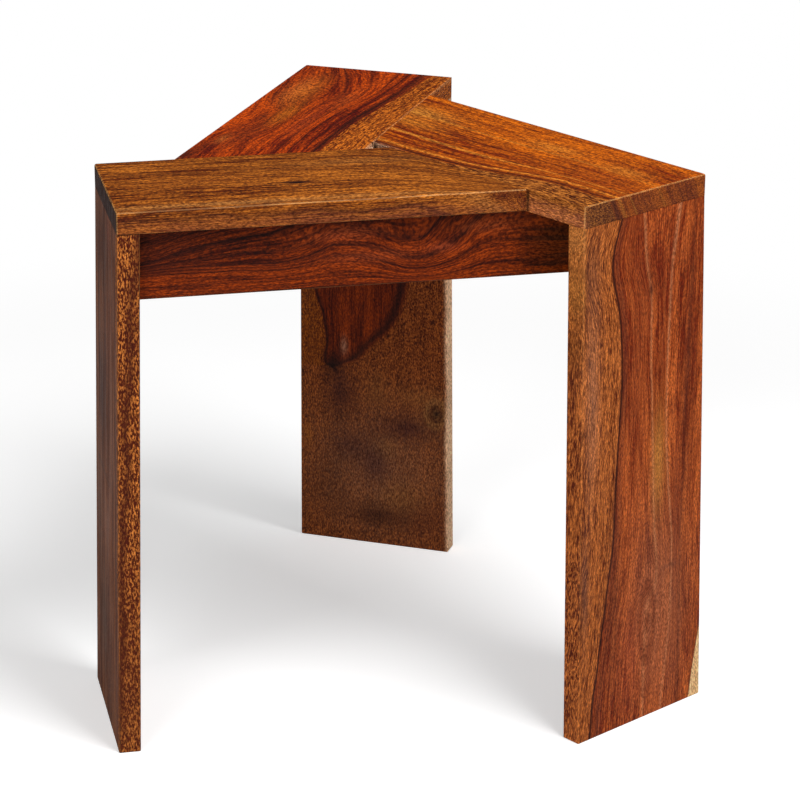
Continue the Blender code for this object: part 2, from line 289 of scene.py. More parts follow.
for name, (place, size, power) in LAMPS.items():
    add_lamp(name, place, size, power)
    print(name, size, "m wide,", power, "W")

world = bpy.data.worlds.new("white_studio")
bpy.context.scene.world = world
world.use_nodes = True
tree = world.node_tree
ray = tree.nodes.new(LIGHT_PATH).outputs["Is Camera Ray"]
direction = tree.nodes.new(TEX_COORD).outputs["Generated"]
upwards = add(tree, SEPARATE, [direction], "Z")
overhead = add(tree, MATH, [upwards, upwards], operation="MULTIPLY")
sky = add(tree, MAP_RANGE, [overhead, 0.0, 1.0, SKY_AT_HORIZON, SKY_OVERHEAD])
strength = add(tree, MIX, {MIX_SHARE: ray, FLOAT_A: sky, FLOAT_B: 1.0})
background = tree.nodes["Background"]
background.inputs["Color"].default_value = WHITE
tree.links.new(strength, background.inputs["Strength"])

# %% [markdown]
# ## Reading the fasteners
# Dowels and screws are long round pieces, so each one's axis is the direction in which its points spread
# most. Their places and sizes are measured here on the solids, and used twice: to drill the planks and to
# set finer dowels and screws into the same holes.


# %% Measure every dowel and screw
# Points are rounded to a thousandth of a millimetre, because a solid's loose triangles repeat them
WELD_DIGITS = 6


@dataclass
class Fastener:
    """A round piece: the middle of its axis, its direction, its length and its largest radius."""
    node: str
    middle: Vector
    direction: Vector
    length: float
    radius: float

    def place(self):
        """A placement at the start of the axis, with +Z along it."""
        start = self.middle - self.direction * self.length / 2
        return Matrix.Translation(start) @ self.direction.to_track_quat("Z", "Y").to_matrix().to_4x4()


def measure_fastener(node):
    """Finds a round solid's axis from its points."""
    points = np.array([vertex.co for vertex in nodes[node].data.vertices])
    points = np.unique(points.round(WELD_DIGITS), axis=0)
    mean = points.mean(0)
    direction = np.linalg.svd(points - mean, full_matrices=False)[2][0]
    direction *= 1 if direction.sum() > 0 else -1
    reach = (points - mean) @ direction
    middle = mean + direction * (reach.min() + reach.max()) / 2
    beside = np.linalg.norm((points - mean) - np.outer(reach, direction), axis=1)
    return Fastener(node, Vector(middle), Vector(direction), float(np.ptp(reach)), float(beside.max()))


FASTENER_KINDS = ("leg_dowel", "seam_dowel", "rail_dowel", "corner_dowel", "rail_screw")
fasteners = {}
for kind in FASTENER_KINDS:
    fasteners[kind] = [measure_fastener(node) for node in sorted(nodes) if node.startswith(kind)]
    first = fasteners[kind][0]
    print(kind, len(fasteners[kind]), "of", in_mm(first.length), "x", in_mm(2 * first.radius), "mm")

# %% [markdown]
# ## The planks
# A plank is a sharp block whose long edges were then eased with sandpaper. The solid in the frame has the
# right shape but coarse edges and holes. So each plank is sawn again here from the solid's own wide
# faces, its edges are rounded more finely by as much as the solid's are cut back, and its holes are
# drilled round. Copying the solid and smoothing it would keep its coarse facets.

# %% Find a solid's wide faces
NARROWEST_FACE = mm(2.0)
FLAT_ANGLE = math.radians(0.5)


def hull_of(node):
    """The solid's convex outline, with its flat faces whole. The planks are convex, so only holes go."""
    bm = bmesh.new()
    vertices = nodes[node].data.vertices
    points = [tuple(round(value, WELD_DIGITS) for value in vertex.co) for vertex in vertices]
    for point in dict.fromkeys(points):
        bm.verts.new(point)
    bmesh.ops.convex_hull(bm, input=bm.verts[:])
    bmesh.ops.delete(bm, geom=[vertex for vertex in bm.verts if not vertex.link_faces], context="VERTS")
    bmesh.ops.dissolve_limit(bm, angle_limit=FLAT_ANGLE, verts=bm.verts[:], edges=bm.edges[:])
    bm.normal_update()
    return bm


def planes_of(bm, narrowest):
    """(point, normal) of each face that is wider than narrowest."""
    planes = []
    for face in bm.faces:
        if face.calc_area() / max(edge.calc_length() for edge in face.edges) > narrowest:
            planes.append((face.calc_center_median(), face.normal.copy()))
    return planes


# %% Saw the sharp block and ease its edges
BLOCK_SIDE = 2.0
EASE_SEGMENTS = 4
LEAST_EASE = mm(0.3)
# A corner stands this share of the ease's width above the first facet of a round that has two facets
FACET_SHARE = math.sin(math.pi / 8)


def sawn_block(planes):
    """A block cut down to the planes."""
    bm = bmesh.new()
    bmesh.ops.create_cube(bm, size=BLOCK_SIDE)
    for point, normal in planes:
        geometry = bm.verts[:] + bm.edges[:] + bm.faces[:]
        cut = bmesh.ops.bisect_plane(bm, geom=geometry, plane_co=point, plane_no=normal, clear_outer=True)
        rim = [item for item in cut["geom_cut"] if isinstance(item, bmesh.types.BMEdge)]
        bmesh.ops.edgenet_fill(bm, edges=rim)
    bmesh.ops.recalc_face_normals(bm, faces=bm.faces[:])
    return bm


def ease_widths(bm, hull_planes):
    """How far each sharp edge is eased: by how much its middle stands out of the solid's outline."""
    widths = []
    for edge in bm.edges:
        middle = (edge.verts[0].co + edge.verts[1].co) / 2
        out = max((middle - point).dot(normal) for point, normal in hull_planes)
        widths.append(out / FACET_SHARE if out / FACET_SHARE > LEAST_EASE else 0.0)
    return widths


# %% [markdown]
# ## The holes
# The boards are drilled for their dowels, and the rails from below for their screws, with a wide
# counterbore that the screw's head sinks into. A drill here is a closed round body, a profile turned round
# the fastener's own axis. All the drills that reach a plank are one mesh, so that the plank is cut once.

# %% Turn the drills
DRILL_SEGMENTS = 32
HOLE_CLEARANCE = mm(0.3)
HOLE_RELIEF = mm(1.0)
COUNTERBORE_RADIUS = mm(5.0)
COUNTERBORE_REACH = mm(50.0)
SCREW_SHANK_RADIUS = mm(2.1)
SCREW_HEAD_RIM = mm(0.5)
SCREW_HEAD_HEIGHT = mm(3.0)


def drill_profile(fastener):
    """(radius, height) pairs of the hole round a fastener, from one end of its axis to the other."""
    end = fastener.length + HOLE_RELIEF
    wide = fastener.radius + HOLE_CLEARANCE
    if not fastener.node.startswith("rail_screw"):
        return [(0, -HOLE_RELIEF), (wide, -HOLE_RELIEF), (wide, end), (0, end)]
    pilot = SCREW_SHANK_RADIUS + HOLE_CLEARANCE
    return [
        (0, -COUNTERBORE_REACH),
        (COUNTERBORE_RADIUS, -COUNTERBORE_REACH),
        (COUNTERBORE_RADIUS, SCREW_HEAD_RIM),
        (wide, SCREW_HEAD_RIM),
        (pilot, SCREW_HEAD_HEIGHT + HOLE_CLEARANCE),
        (pilot, end),
        (0, end),
    ]


def turn_solid(bm, profile, place):
    """Adds a closed round solid to bm: the profile spun round its axis."""
    rings = []
    for radius, height in profile:
        steps = DRILL_SEGMENTS if radius > 0 else 1
        ring = []
        for step in range(steps):
            angle = 2 * math.pi * step / steps
            point = Vector((radius * math.cos(angle), radius * math.sin(angle), height))
            ring.append(bm.verts.new(place @ point))
        rings.append(ring)
    for lower, upper in zip(rings, rings[1:]):
        for step in range(DRILL_SEGMENTS):
            after = step + 1
            corners = [lower[step % len(lower)], lower[after % len(lower)]]
            corners += [upper[after % len(upper)], upper[step % len(upper)]]
            bm.faces.new(list(dict.fromkeys(corners)))


# %% Gather a plank's drills
def reaches(fastener, low, high):
    """Whether a fastener, with its hole, comes near the box from low to high."""
    half = fastener.length / 2
    ends = [fastener.middle + fastener.direction * half, fastener.middle - fastener.direction * half]
    for axis in range(3):
        near = min(end[axis] for end in ends) - fastener.radius - HOLE_RELIEF
        far = max(end[axis] for end in ends) + fastener.radius + HOLE_RELIEF
        if far < low[axis] or near > high[axis]:
            return False
    return True


def drills_for(node):
    """One mesh with a drill for each fastener that reaches the plank."""
    low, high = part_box(node)
    bm = bmesh.new()
    for fastener in sum(fasteners.values(), []):
        if reaches(fastener, low, high):
            turn_solid(bm, drill_profile(fastener), fastener.place())
    bmesh.ops.recalc_face_normals(bm, faces=bm.faces[:])
    return bm


# %% [markdown]
# ## Finishing the planks
# The sharp block gets its eased edges from a Bevel modifier and its holes from a Boolean. Both are then
# turned into plain mesh. Rounds are shaded smooth, with the flat faces kept flat, and the faces that
# sandpaper rounded are marked, because that is where the finish wears first and where a highlight is
# painted.

# %% Objects and plain meshes
def new_object(name, bm):
    """A mesh object from bm, which is freed."""
    mesh = bpy.data.meshes.new(name)
    bm.to_mesh(mesh)
    bm.free()
    made = bpy.data.objects.new(name, mesh)
    bpy.context.scene.collection.objects.link(made)
    return made


def freeze(piece):
    """Turns the object's modifiers into plain mesh."""
    seen_mesh = piece.evaluated_get(bpy.context.evaluated_depsgraph_get())
    mesh = bpy.data.meshes.new_from_object(seen_mesh)
    piece.modifiers.clear()
    old = piece.data
    piece.data = mesh
    bpy.data.meshes.remove(old)
    mesh.name = piece.name


# %% Smooth the rounds and mark the eased edges
SMOOTH_ANGLE = math.radians(35)
FLATTEST_COSINE = math.cos(math.radians(20))


def shade_round(piece):
    """Smooth shading on rounds, with the flat faces kept flat."""
    piece.data.shade_smooth()
    piece.data.set_sharp_from_angle(angle=SMOOTH_ANGLE)
    even = piece.modifiers.new("flat_faces_first", "WEIGHTED_NORMAL")
    even.keep_sharp = True
    freeze(piece)


def mark_eased(piece, planes):
    """Stores 1 on the middle of the edges that sandpaper rounded, for the material to read."""
    eased = piece.data.attributes.new("eased", "FLOAT", "FACE")
    for face, store in zip(piece.data.polygons, eased.data):
        store.value = float(max(face.normal.dot(normal) for _, normal in planes) < FLATTEST_COSINE)


# %% Make the nine planks
def make_plank(node):
    """Saws, eases and drills one plank."""
    hull = hull_of(node)
    wide_planes = planes_of(hull, NARROWEST_FACE)
    block = sawn_block(wide_planes)
    widths = ease_widths(block, planes_of(hull, 0.0))
    weights = block.edges.layers.float.new("bevel_weight_edge")
    for edge, width in zip(block.edges, widths):
        edge[weights] = width / max(widths)
    hull.free()
    plank = new_object(node + "_plank", block)
    ease = plank.modifiers.new("eased_edges", "BEVEL")
    ease.limit_method = "WEIGHT"
    ease.offset_type = "OFFSET"
    ease.width = max(widths)
    ease.segments = EASE_SEGMENTS
    drills = new_object(node + "_drills", drills_for(node))
    cut = plank.modifiers.new("holes", "BOOLEAN")
    cut.operation = "DIFFERENCE"
    cut.solver = "EXACT"
    cut.object = drills
    freeze(plank)
    bpy.data.objects.remove(drills, do_unlink=True)
    shade_round(plank)
    mark_eased(plank, wide_planes)
    return plank


planks = {}
for kind in ("top_board", "leg", "rail"):
    for arm in ARMS:
        planks[kind, arm] = make_plank(f"{kind}_{arm}")
        print(planks[kind, arm].name, len(planks[kind, arm].data.polygons), "faces")

# %% [markdown]
# ## Dowels and screws
# Beech dowels and steel wood screws hold the joints. They show only from below, or once a board is lifted
# off. A dowel is a rod with grooves that let the glue out and a chamfer at both ends. A screw is a turned
# body with a thread wound round it and a star-shaped socket in its head. All of a kind are alike, so
# Geometry Nodes make one and set it on every measured point: the numbers that shape it then stand in one
# place, where copies of a mesh would have lost them.

# %% Beech and zinc-plated steel
BEECH_FIBRE = (0.5, 0.5, 7.0)
BEECH_FIBRE_CUT = (0.35, 0.65)
BEECH_DARK = "B98E66"
BEECH_LIGHT = "D3AC84"
BEECH_RAY = (0.25, 0.9, 2.2)
BEECH_RAY_CUT = (0.58, 0.66)
BEECH_RAY_BROWN = "96683F"
BEECH_ROUGHNESS = 0.75
BEECH_DEPTH = mm(0.1)
BEECH_STRENGTH = 0.5
ZINC_SPANGLE = 1.2
ZINC_DARK = "A4A9AE"
ZINC_LIGHT = "D4D7D8"
ZINC_ROUGHNESS = (0.24, 0.48)


def stretched_noise(tree, place, size, detail=2.0):
    """Noise from 0 to 1 whose marks have a size in mm on each axis."""
    scaled = add(tree, VECTOR_MATH, [place, [1 / mm(value) for value in size]], operation="MULTIPLY")
    return add(tree, NOISE, {"Vector": scaled, "Scale": 1.0, "Detail": detail})


def paint(tree, under, over, mask, share=1.0):
    """Lays the colour over on the colour under, where the mask is 1, by a share."""
    amount = add(tree, MATH, [mask, share], operation="MULTIPLY")
    over = linear(over) if isinstance(over, str) else over
    colours = {MIX_SHARE: amount, COLOUR_A: under, COLOUR_B: over}
    return add(tree, MIX, colours, COLOUR_OUT, data_type="RGBA")


def turned_beech():
    """Raw turned beech: a pale pinkish tan that drinks light, with short brown rays along the dowel."""
    material, tree, shader = new_material("turned_beech")
    place = add(tree, ATTRIBUTE, out="Vector", attribute_name="own_place")
    fibre = add(tree, MAP_RANGE, [stretched_noise(tree, place, BEECH_FIBRE), *BEECH_FIBRE_CUT])
    ray = add(tree, MAP_RANGE, [stretched_noise(tree, place, BEECH_RAY), *BEECH_RAY_CUT])
    tan = paint(tree, linear(BEECH_DARK), BEECH_LIGHT, fibre)
    tan = paint(tree, tan, BEECH_RAY_BROWN, ray)
    bump = add(tree, BUMP, {"Height": fibre, "Distance": BEECH_DEPTH, "Strength": BEECH_STRENGTH})
    tree.links.new(tan, shader.inputs["Base Color"])
    tree.links.new(bump, shader.inputs["Normal"])
    shader.inputs["Roughness"].default_value = BEECH_ROUGHNESS
    return material


def zinc_plate():
    """Zinc-plated steel: cool bright grey, mottled by the crystals of the plating."""
    material, tree, shader = new_material("bright_zinc_plate")
    place = tree.nodes.new(TEX_COORD).outputs["Object"]
    spangle = stretched_noise(tree, place, (ZINC_SPANGLE,) * 3)
    grey = paint(tree, linear(ZINC_DARK), ZINC_LIGHT, spangle)
    rough = add(tree, MAP_RANGE, [spangle, 0.0, 1.0, *ZINC_ROUGHNESS])
    tree.links.new(grey, shader.inputs["Base Color"])
    tree.links.new(rough, shader.inputs["Roughness"])
    shader.inputs["Metallic"].default_value = 1.0
    return material


# %% [markdown]
# ## The trees that make them
# Both trees start from the same moves: sweep a section along a straight line, with a radius of its own at
# each point, then set the body on every measured point and turn it along the stored axis. The body keeps
# its own coordinates as an attribute, so that the wood's fibres follow each dowel.

# %% Tools for the Geometry Nodes trees
SET_POSITION = "GeometryNodeSetPosition"
SWEEP = "GeometryNodeCurveToMesh"
POSITION = "GeometryNodeInputPosition"
CIRCLE = "GeometryNodeCurvePrimitiveCircle"
STAR = "GeometryNodeCurveStar"


def new_tree(name, inputs):
    """An empty Geometry Nodes tree with named inputs, and the outputs of its input node."""
    tree = bpy.data.node_groups.new(name, "GeometryNodeTree")
    for title, kind in {"Geometry": "Geometry", **inputs}.items():
        tree.interface.new_socket(title, in_out="INPUT", socket_type="NodeSocket" + kind)
    tree.interface.new_socket("Geometry", in_out="OUTPUT", socket_type="NodeSocketGeometry")
    return tree, tree.nodes.new("NodeGroupInput").outputs


def by_index(tree, values):
    """A field that gives each point of a line its own value."""
    index = tree.nodes.new("GeometryNodeInputIndex").outputs["Index"]
    switch = add(tree, "GeometryNodeIndexSwitch", [index], data_type="FLOAT").node
    for _ in values[2:]:
        switch.index_switch_items.new()
    for socket, value in zip(list(switch.inputs)[1:], values):
        feed(tree, socket, value)
    return switch.outputs[0]


def turned(tree, profile, section):
    """A closed body along +Z: a section of radius 1, swept past the (radius, height) pairs of a profile."""
    radii, heights = zip(*profile)
    line = add(tree, "GeometryNodeMeshLine", {"Count": len(profile)})
    up = add(tree, COMBINE, {"Z": by_index(tree, heights)})
    line = add(tree, SET_POSITION, {"Geometry": line, "Position": up})
    path = add(tree, "GeometryNodeMeshToCurve", [line])
    return add(tree, SWEEP, {"Curve": path, "Profile Curve": section, "Scale": by_index(tree, radii),
                             "Fill Caps": True})


def set_on_points(tree, sizes, body):
    """Sets the body on every point along its axis. It keeps its own coordinates for the material."""
    own = tree.nodes.new(POSITION).outputs[0]
    stored = {"Geometry": body, "Name": "own_place", "Value": own}
    body = add(tree, "GeometryNodeStoreNamedAttribute", stored, data_type="FLOAT_VECTOR")
    axis = add(tree, "GeometryNodeInputNamedAttribute", {"Name": "axis"}, data_type="FLOAT_VECTOR")
    turn = add(tree, "FunctionNodeAlignRotationToVector", {"Vector": axis}, axis="Z")
    copies = add(tree, "GeometryNodeInstanceOnPoints",
                 {"Points": sizes["Geometry"], "Instance": body, "Rotation": turn})
    real = add(tree, "GeometryNodeRealizeInstances", [copies])
    real = add(tree, "GeometryNodeSetMaterial", {"Geometry": real, "Material": sizes["Material"]})
    tree.links.new(real, tree.nodes.new("NodeGroupOutput").inputs[0])


# %% The tree for fluted dowels
def dowel_tree():
    """A fluted, chamfered dowel on every point."""
    tree, sizes = new_tree("fluted_dowels", {
        "Length": "Float", "Radius": "Float", "Chamfer": "Float", "Flutes": "Int", "Flute Depth": "Float",
        "Material": "Material"})
    length, radius, chamfer = (sizes[name] for name in ("Length", "Radius", "Chamfer"))
    end = add(tree, MATH, [radius, chamfer], operation="SUBTRACT")
    last = add(tree, MATH, [length, chamfer], operation="SUBTRACT")
    deep = add(tree, MATH, [sizes["Flute Depth"], radius], operation="DIVIDE")
    deep = add(tree, MATH, [1.0, deep], operation="SUBTRACT")
    section = add(tree, STAR, {"Points": sizes["Flutes"], "Inner Radius": deep, "Outer Radius": 1.0})
    profile = [(end, 0.0), (radius, chamfer), (radius, last), (end, length)]
    set_on_points(tree, sizes, turned(tree, profile, section))
    return tree


# %% [markdown]
# ### The screw
# A wood screw is a countersunk head, a plain shank, and a thinner core with a thread wound round it that
# thins out to the tip. The core is turned from a profile. The thread is a triangle swept along a spiral,
# which is tapered with the tip and joined to the core by a Boolean, and another cuts the star-shaped
# socket. A spiral drawn point by point would need hundreds of numbers where these two nodes need five.

# %% The screw's thread
SCREW_SIDES = 24
TRIANGLE_SIDES = 3
THREAD_POINTS = 24
THREAD_START = 0.2
TIP_SHARE = 0.25
SOCKET_INNER_SHARE = 0.65


def screw_thread(tree, sizes, height):
    """The thread: a triangle wound round the core, which grows out of the shank and dies at the tip."""
    turns = add(tree, MATH, [height, sizes["Pitch"]], operation="DIVIDE")
    wound = add(tree, "GeometryNodeCurveSpiral", {
        "Resolution": THREAD_POINTS, "Rotations": turns, "Start Radius": sizes["Core Radius"],
        "End Radius": sizes["Core Radius"], "Height": height})
    place = tree.nodes.new(POSITION).outputs[0]
    up = add(tree, SEPARATE, [place], "Z")
    tip_start = add(tree, MATH, [height, sizes["Tip Length"]], operation="SUBTRACT")
    narrow = add(tree, MAP_RANGE, [up, tip_start, height, 1.0, TIP_SHARE])
    thin = add(tree, MAP_RANGE, [up, 0.0, sizes["Pitch"], THREAD_START, 1.0])
    thin = add(tree, MATH, [thin, narrow], operation="MULTIPLY")
    thin = add(tree, MATH, [thin, sizes["Thread Height"]], operation="MULTIPLY")
    squeeze = add(tree, COMBINE, {"X": narrow, "Y": narrow, "Z": 1.0})
    tapered = add(tree, VECTOR_MATH, [place, squeeze], operation="MULTIPLY")
    wound = add(tree, SET_POSITION, {"Geometry": wound, "Position": tapered})
    wound = add(tree, "GeometryNodeSetCurveNormal", [wound], mode="Z_UP")
    triangle = add(tree, CIRCLE, {"Resolution": TRIANGLE_SIDES, "Radius": 1.0})
    # Half a turn, so that a corner of the triangle is the thread's crest
    triangle = add(tree, "GeometryNodeTransform", {"Geometry": triangle, "Rotation": (0, 0, math.pi)})
    thread = add(tree, SWEEP, {"Curve": wound, "Profile Curve": triangle, "Scale": thin, "Fill Caps": True})
    lift = add(tree, COMBINE, {"Z": sizes["Shank Length"]})
    return add(tree, SET_POSITION, {"Geometry": thread, "Offset": lift})


# %% The tree for wood screws
BOOLEAN = "GeometryNodeMeshBoolean"


def screw_tree():
    """A countersunk wood screw on every point, with its head on the point."""
    names = ("Length", "Head Radius", "Head Rim", "Head Height", "Shank Radius", "Shank Length",
             "Core Radius", "Tip Length", "Pitch", "Thread Height", "Socket Radius", "Socket Depth")
    inputs = {**{name: "Float" for name in names}, "Socket Lobes": "Int", "Material": "Material"}
    tree, sizes = new_tree("wood_screws", inputs)
    head, shank, core = (sizes[name] for name in ("Head Radius", "Shank Radius", "Core Radius"))
    length = sizes["Length"]
    tip = add(tree, MATH, [core, TIP_SHARE], operation="MULTIPLY")
    step = add(tree, MATH, [sizes["Shank Length"], sizes["Head Rim"]])
    tip_start = add(tree, MATH, [length, sizes["Tip Length"]], operation="SUBTRACT")
    profile = [(head, 0.0), (head, sizes["Head Rim"]), (shank, sizes["Head Height"]),
               (shank, sizes["Shank Length"]), (core, step), (core, tip_start), (tip, length)]
    round_section = add(tree, CIRCLE, {"Resolution": SCREW_SIDES, "Radius": 1.0})
    body = turned(tree, profile, round_section)
    thread_height = add(tree, MATH, [length, sizes["Shank Length"]], operation="SUBTRACT")
    body = add(tree, BOOLEAN, {"Mesh 2": body}, operation="UNION", solver="EXACT")
    tree.links.new(screw_thread(tree, sizes, thread_height), body.node.inputs["Mesh 2"])
    star = {"Points": sizes["Socket Lobes"], "Inner Radius": SOCKET_INNER_SHARE, "Outer Radius": 1.0}
    lobes = add(tree, STAR, star)
    above = add(tree, MATH, [sizes["Head Rim"], -1.0], operation="MULTIPLY")
    wide = sizes["Socket Radius"]
    socket = turned(tree, [(wide, above), (wide, sizes["Socket Depth"])], lobes)
    body = add(tree, BOOLEAN, {"Mesh 1": body, "Mesh 2": socket}, operation="DIFFERENCE", solver="EXACT")
    set_on_points(tree, sizes, body)
    return tree


# %% Make the dowels and the screws
DOWEL_SIZES = {"Chamfer": mm(0.8), "Flutes": 20, "Flute Depth": mm(0.35)}
SCREW_SIZES = {
    "Head Rim": SCREW_HEAD_RIM, "Head Height": SCREW_HEAD_HEIGHT, "Shank Radius": SCREW_SHANK_RADIUS,
    "Shank Length": mm(16.0), "Core Radius": mm(1.4), "Tip Length": mm(5.0), "Pitch": mm(1.9),
    "Thread Height": mm(0.7), "Socket Radius": mm(1.6), "Socket Depth": mm(1.5), "Socket Lobes": 6,
}


def make_fasteners(kind, tree, values):
    """One piece with every fastener of a kind, as plain mesh."""
    mesh = bpy.data.meshes.new(kind + "s")
    mesh.from_pydata([fastener.place().translation for fastener in fasteners[kind]], [], [])
    axes = mesh.attributes.new("axis", "FLOAT_VECTOR", "POINT")
    for fastener, store in zip(fasteners[kind], axes.data):
        store.vector = fastener.direction
    piece = bpy.data.objects.new(kind + "s", mesh)
    bpy.context.scene.collection.objects.link(piece)
    maker = piece.modifiers.new("made_by_nodes", "NODES")
    maker.node_group = tree
    for item in tree.interface.items_tree:
        if item.in_out == "INPUT" and item.name in values:
            maker[item.identifier] = values[item.name]
    freeze(piece)
    # Set Material leaves the mesh's own empty slot in front of the new one
    piece.data.materials.pop(index=0)
    shade_round(piece)
    return piece


beech = turned_beech()
zinc = zinc_plate()
fluted_dowels = dowel_tree()
wood_screws = screw_tree()
fastener_pieces = {}
for kind, found in fasteners.items():
    first = found[0]
    if kind == "rail_screw":
        values = {**SCREW_SIZES, "Length": first.length, "Head Radius": first.radius, "Material": zinc}
        fastener_pieces[kind] = make_fasteners(kind, wood_screws, values)
    else:
        values = {**DOWEL_SIZES, "Length": first.length, "Radius": first.radius, "Material": beech}
        fastener_pieces[kind] = make_fasteners(kind, fluted_dowels, values)
    print(kind, len(fastener_pieces[kind].data.polygons), "faces")

# %% [markdown]
# ## How the wood is drawn
# A plank is cut out of a trunk, so its figure runs right through it: a line on a face goes round the edge
# and comes out again on the end. The pattern here is solid in the same way. Each plank has its own
# coordinates, u along the grain, v across the face and n into the thickness, and the growth rings are the
# levels of one field over them, the ring height. The few grain lines that make this table's figure are
# drawn one by one, as a pattern maker would pencil them, and all the others run between them by themselves.
# A picture of wood laid on the faces would be simpler, but it would break at every edge and end.


# %% Plank coordinates
def plank_axes(kind, arm):
    """The origin and the rotation of a plank's own u, v, n axes."""
    plan = {
        "top_board": (Vector((0, 0, board_high.z)), ((1, 0, 0), (0, 1, 0), (0, 0, -1))),
        "leg": (Vector((leg_high.x, 0, 0)), ((0, 0, 1), (0, 1, 0), (-1, 0, 0))),
        "rail": (Vector((0, rail_high.y, 0)), ((1, 0, 0), (0, 0, 1), (0, -1, 0))),
    }
    origin, axes = plan[kind]
    rotation = arm_place[arm].to_3x3() @ Matrix(axes).transposed()
    return arm_place[arm] @ origin, rotation


def plank_coordinates(tree, kind, arm):
    """Object coordinates turned to the plank's u, v, n, and how much a face is end grain."""
    origin, rotation = plank_axes(kind, arm)
    source = tree.nodes.new(TEX_COORD)
    from_origin = add(tree, VECTOR_MATH, [source.outputs["Object"], origin], operation="SUBTRACT")
    along = [add(tree, VECTOR_MATH, [from_origin, axis], "Value", operation="DOT_PRODUCT")
             for axis in rotation.col]
    facing = add(tree, VECTOR_MATH, [source.outputs["Normal"], rotation.col[0]], "Value",
                 operation="DOT_PRODUCT")
    return along, add(tree, MATH, [facing, 2.0], operation="POWER")


# %% [markdown]
# ### The words for a plank's looks
# What makes one plank differ from the next is written down as data, in four kinds of record: lines, spots,
# sapwood and the wood itself. The material is then built once, by one function that reads them.

# %% The sizes of the finest marks
# In mm: along the grain, across it and into the plank. The tops' grit is also stronger than the legs'
LEG_THREAD = (35, 1.0, 1.2)
LEG_FLECK = (3.5, 0.9, 1.0)
LEG_CURL = (10.0, 0.9, 1.2)
LEG_GRIT = (3.0, 1.0, 1.0)
TOP_MARKS = {
    "thread_size": (40, 1.9, 1.1),
    "fleck_size": (4.5, 1.7, 0.9),
    "curl_size": (8.0, 1.7, 1.0),
    "grit_size": (3.0, 2.0, 1.0),
    "grit": 0.42,
}


# %% Lines and spots
@dataclass
class Line:
    """A drawn line, mostly grain and in two places a painted shadow line: (u, v) points, its colour, how
    strong it is and its half width, in mm.
    """
    points: tuple
    colour: str = "2A0E08"
    share: float = 0.0
    width: float = 1.5


@dataclass
class Spot:
    """A patch or a knot: its place (u, v), half length and half width in mm, its colour and its strength.

    It can push the grain lines aside and be cut into rings, as a branch's growth rings are.
    """
    u: float
    v: float
    half_u: float
    half_v: float
    colour: str
    share: float
    push: float = 0.0
    rings: float = 0.0


# %% Sapwood and wood
@dataclass
class Sapwood:
    """Sapwood on one side of a border: light and dark tones, curl, and the dark line at the border.

    A thinness above 1 leaves only thin light curls on dark wood.
    """
    border: tuple
    light: str
    dark: str
    curl: float = 0.6
    edge: str = "2A0E08"
    edge_share: float = 0.0
    edge_width: float = 1.2
    softness: float = 0.5
    contrast: float = 1.25
    thinness: float = 1.0


@dataclass
class Wood:
    """What one plank looks like: tones, the widths of its figure in mm, and what was drawn one by one."""
    light: str
    dark: str
    seed: float
    end: str
    end_share: float = 0.4
    tilt: float = 0.4
    band: float = 16.0
    streak: float = 3.2
    bands_share: float = 0.36
    streaks_share: float = 0.30
    contrast: float = 1.4
    wander: float = 2.0
    fleck: float = 0.45
    thread_size: tuple = LEG_THREAD
    fleck_size: tuple = LEG_FLECK
    curl_size: tuple = LEG_CURL
    grit_size: tuple = LEG_GRIT
    grit: float = 0.30
    lines: tuple = ()
    spots: tuple = ()
    low_sap: Sapwood = None
    high_sap: Sapwood = None


# %% Shapes that the figure is made of
def bell(tree, squared):
    """1 where the squared distance is 0, falling softly to 0."""
    down = add(tree, MATH, [squared, -1.0], operation="MULTIPLY")
    return add(tree, MATH, [math.e, down], operation="POWER")


def hill(tree, value, place, half_width):
    """A smooth hill of height 1 over value = place."""
    away = add(tree, MATH, [value, place], operation="SUBTRACT")
    share = add(tree, MATH, [away, half_width], operation="DIVIDE")
    return bell(tree, add(tree, MATH, [share, share], operation="MULTIPLY"))


# %% A curve through drawn points
CURVE_MIDDLE = 0.5


def drawn_curve(tree, u, points):
    """The height v over u of a line through (u, v) points in mm, as a smooth curve."""
    points = sorted((mm(u_place), mm(v_place)) for u_place, v_place in points)
    low, high = points[0][0], points[-1][0]
    share = add(tree, MAP_RANGE, [u, low, high])
    curve = tree.nodes.new("ShaderNodeFloatCurve")
    tree.links.new(share, curve.inputs["Value"])
    line = curve.mapping.curves[0]
    for _ in points[2:]:
        line.points.new(CURVE_MIDDLE, CURVE_MIDDLE)
    for point, (u_place, v_place) in zip(line.points, points):
        point.location = ((u_place - low) / (high - low), v_place)
        point.handle_type = "AUTO_CLAMPED"
    curve.mapping.update()
    return curve.outputs[0]


# %% [markdown]
# ### The ring height
# On a real plank the growth rings bend together: a line that swings out takes its neighbours along. So v
# is stretched between each two drawn lines until both are level. Noise that is drawn on this ring height
# then follows the drawn lines by itself, and nobody has to draw the hundreds of threads between them.

# %% The ring height
def ring_height(tree, u, v, lines):
    """v, bent so that every drawn line is level. Also gives the level of each line."""
    if not lines:
        return v, []
    curves = [drawn_curve(tree, u, line.points) for line in lines]
    levels = [sum(mm(v_place) for _, v_place in line.points) / len(line.points) for line in lines]
    below = add(tree, MATH, [v, curves[0]], operation="SUBTRACT")
    below = add(tree, MATH, [below, 0.0], operation="MINIMUM")
    height = add(tree, MATH, [below, levels[0]])
    for lower, upper, low_level, high_level in zip(curves, curves[1:], levels, levels[1:]):
        strip = add(tree, MAP_RANGE, [v, lower, upper, 0.0, high_level - low_level])
        height = add(tree, MATH, [height, strip])
    above = add(tree, MATH, [v, curves[-1]], operation="SUBTRACT")
    above = add(tree, MATH, [above, 0.0], operation="MAXIMUM")
    return add(tree, MATH, [height, above]), levels


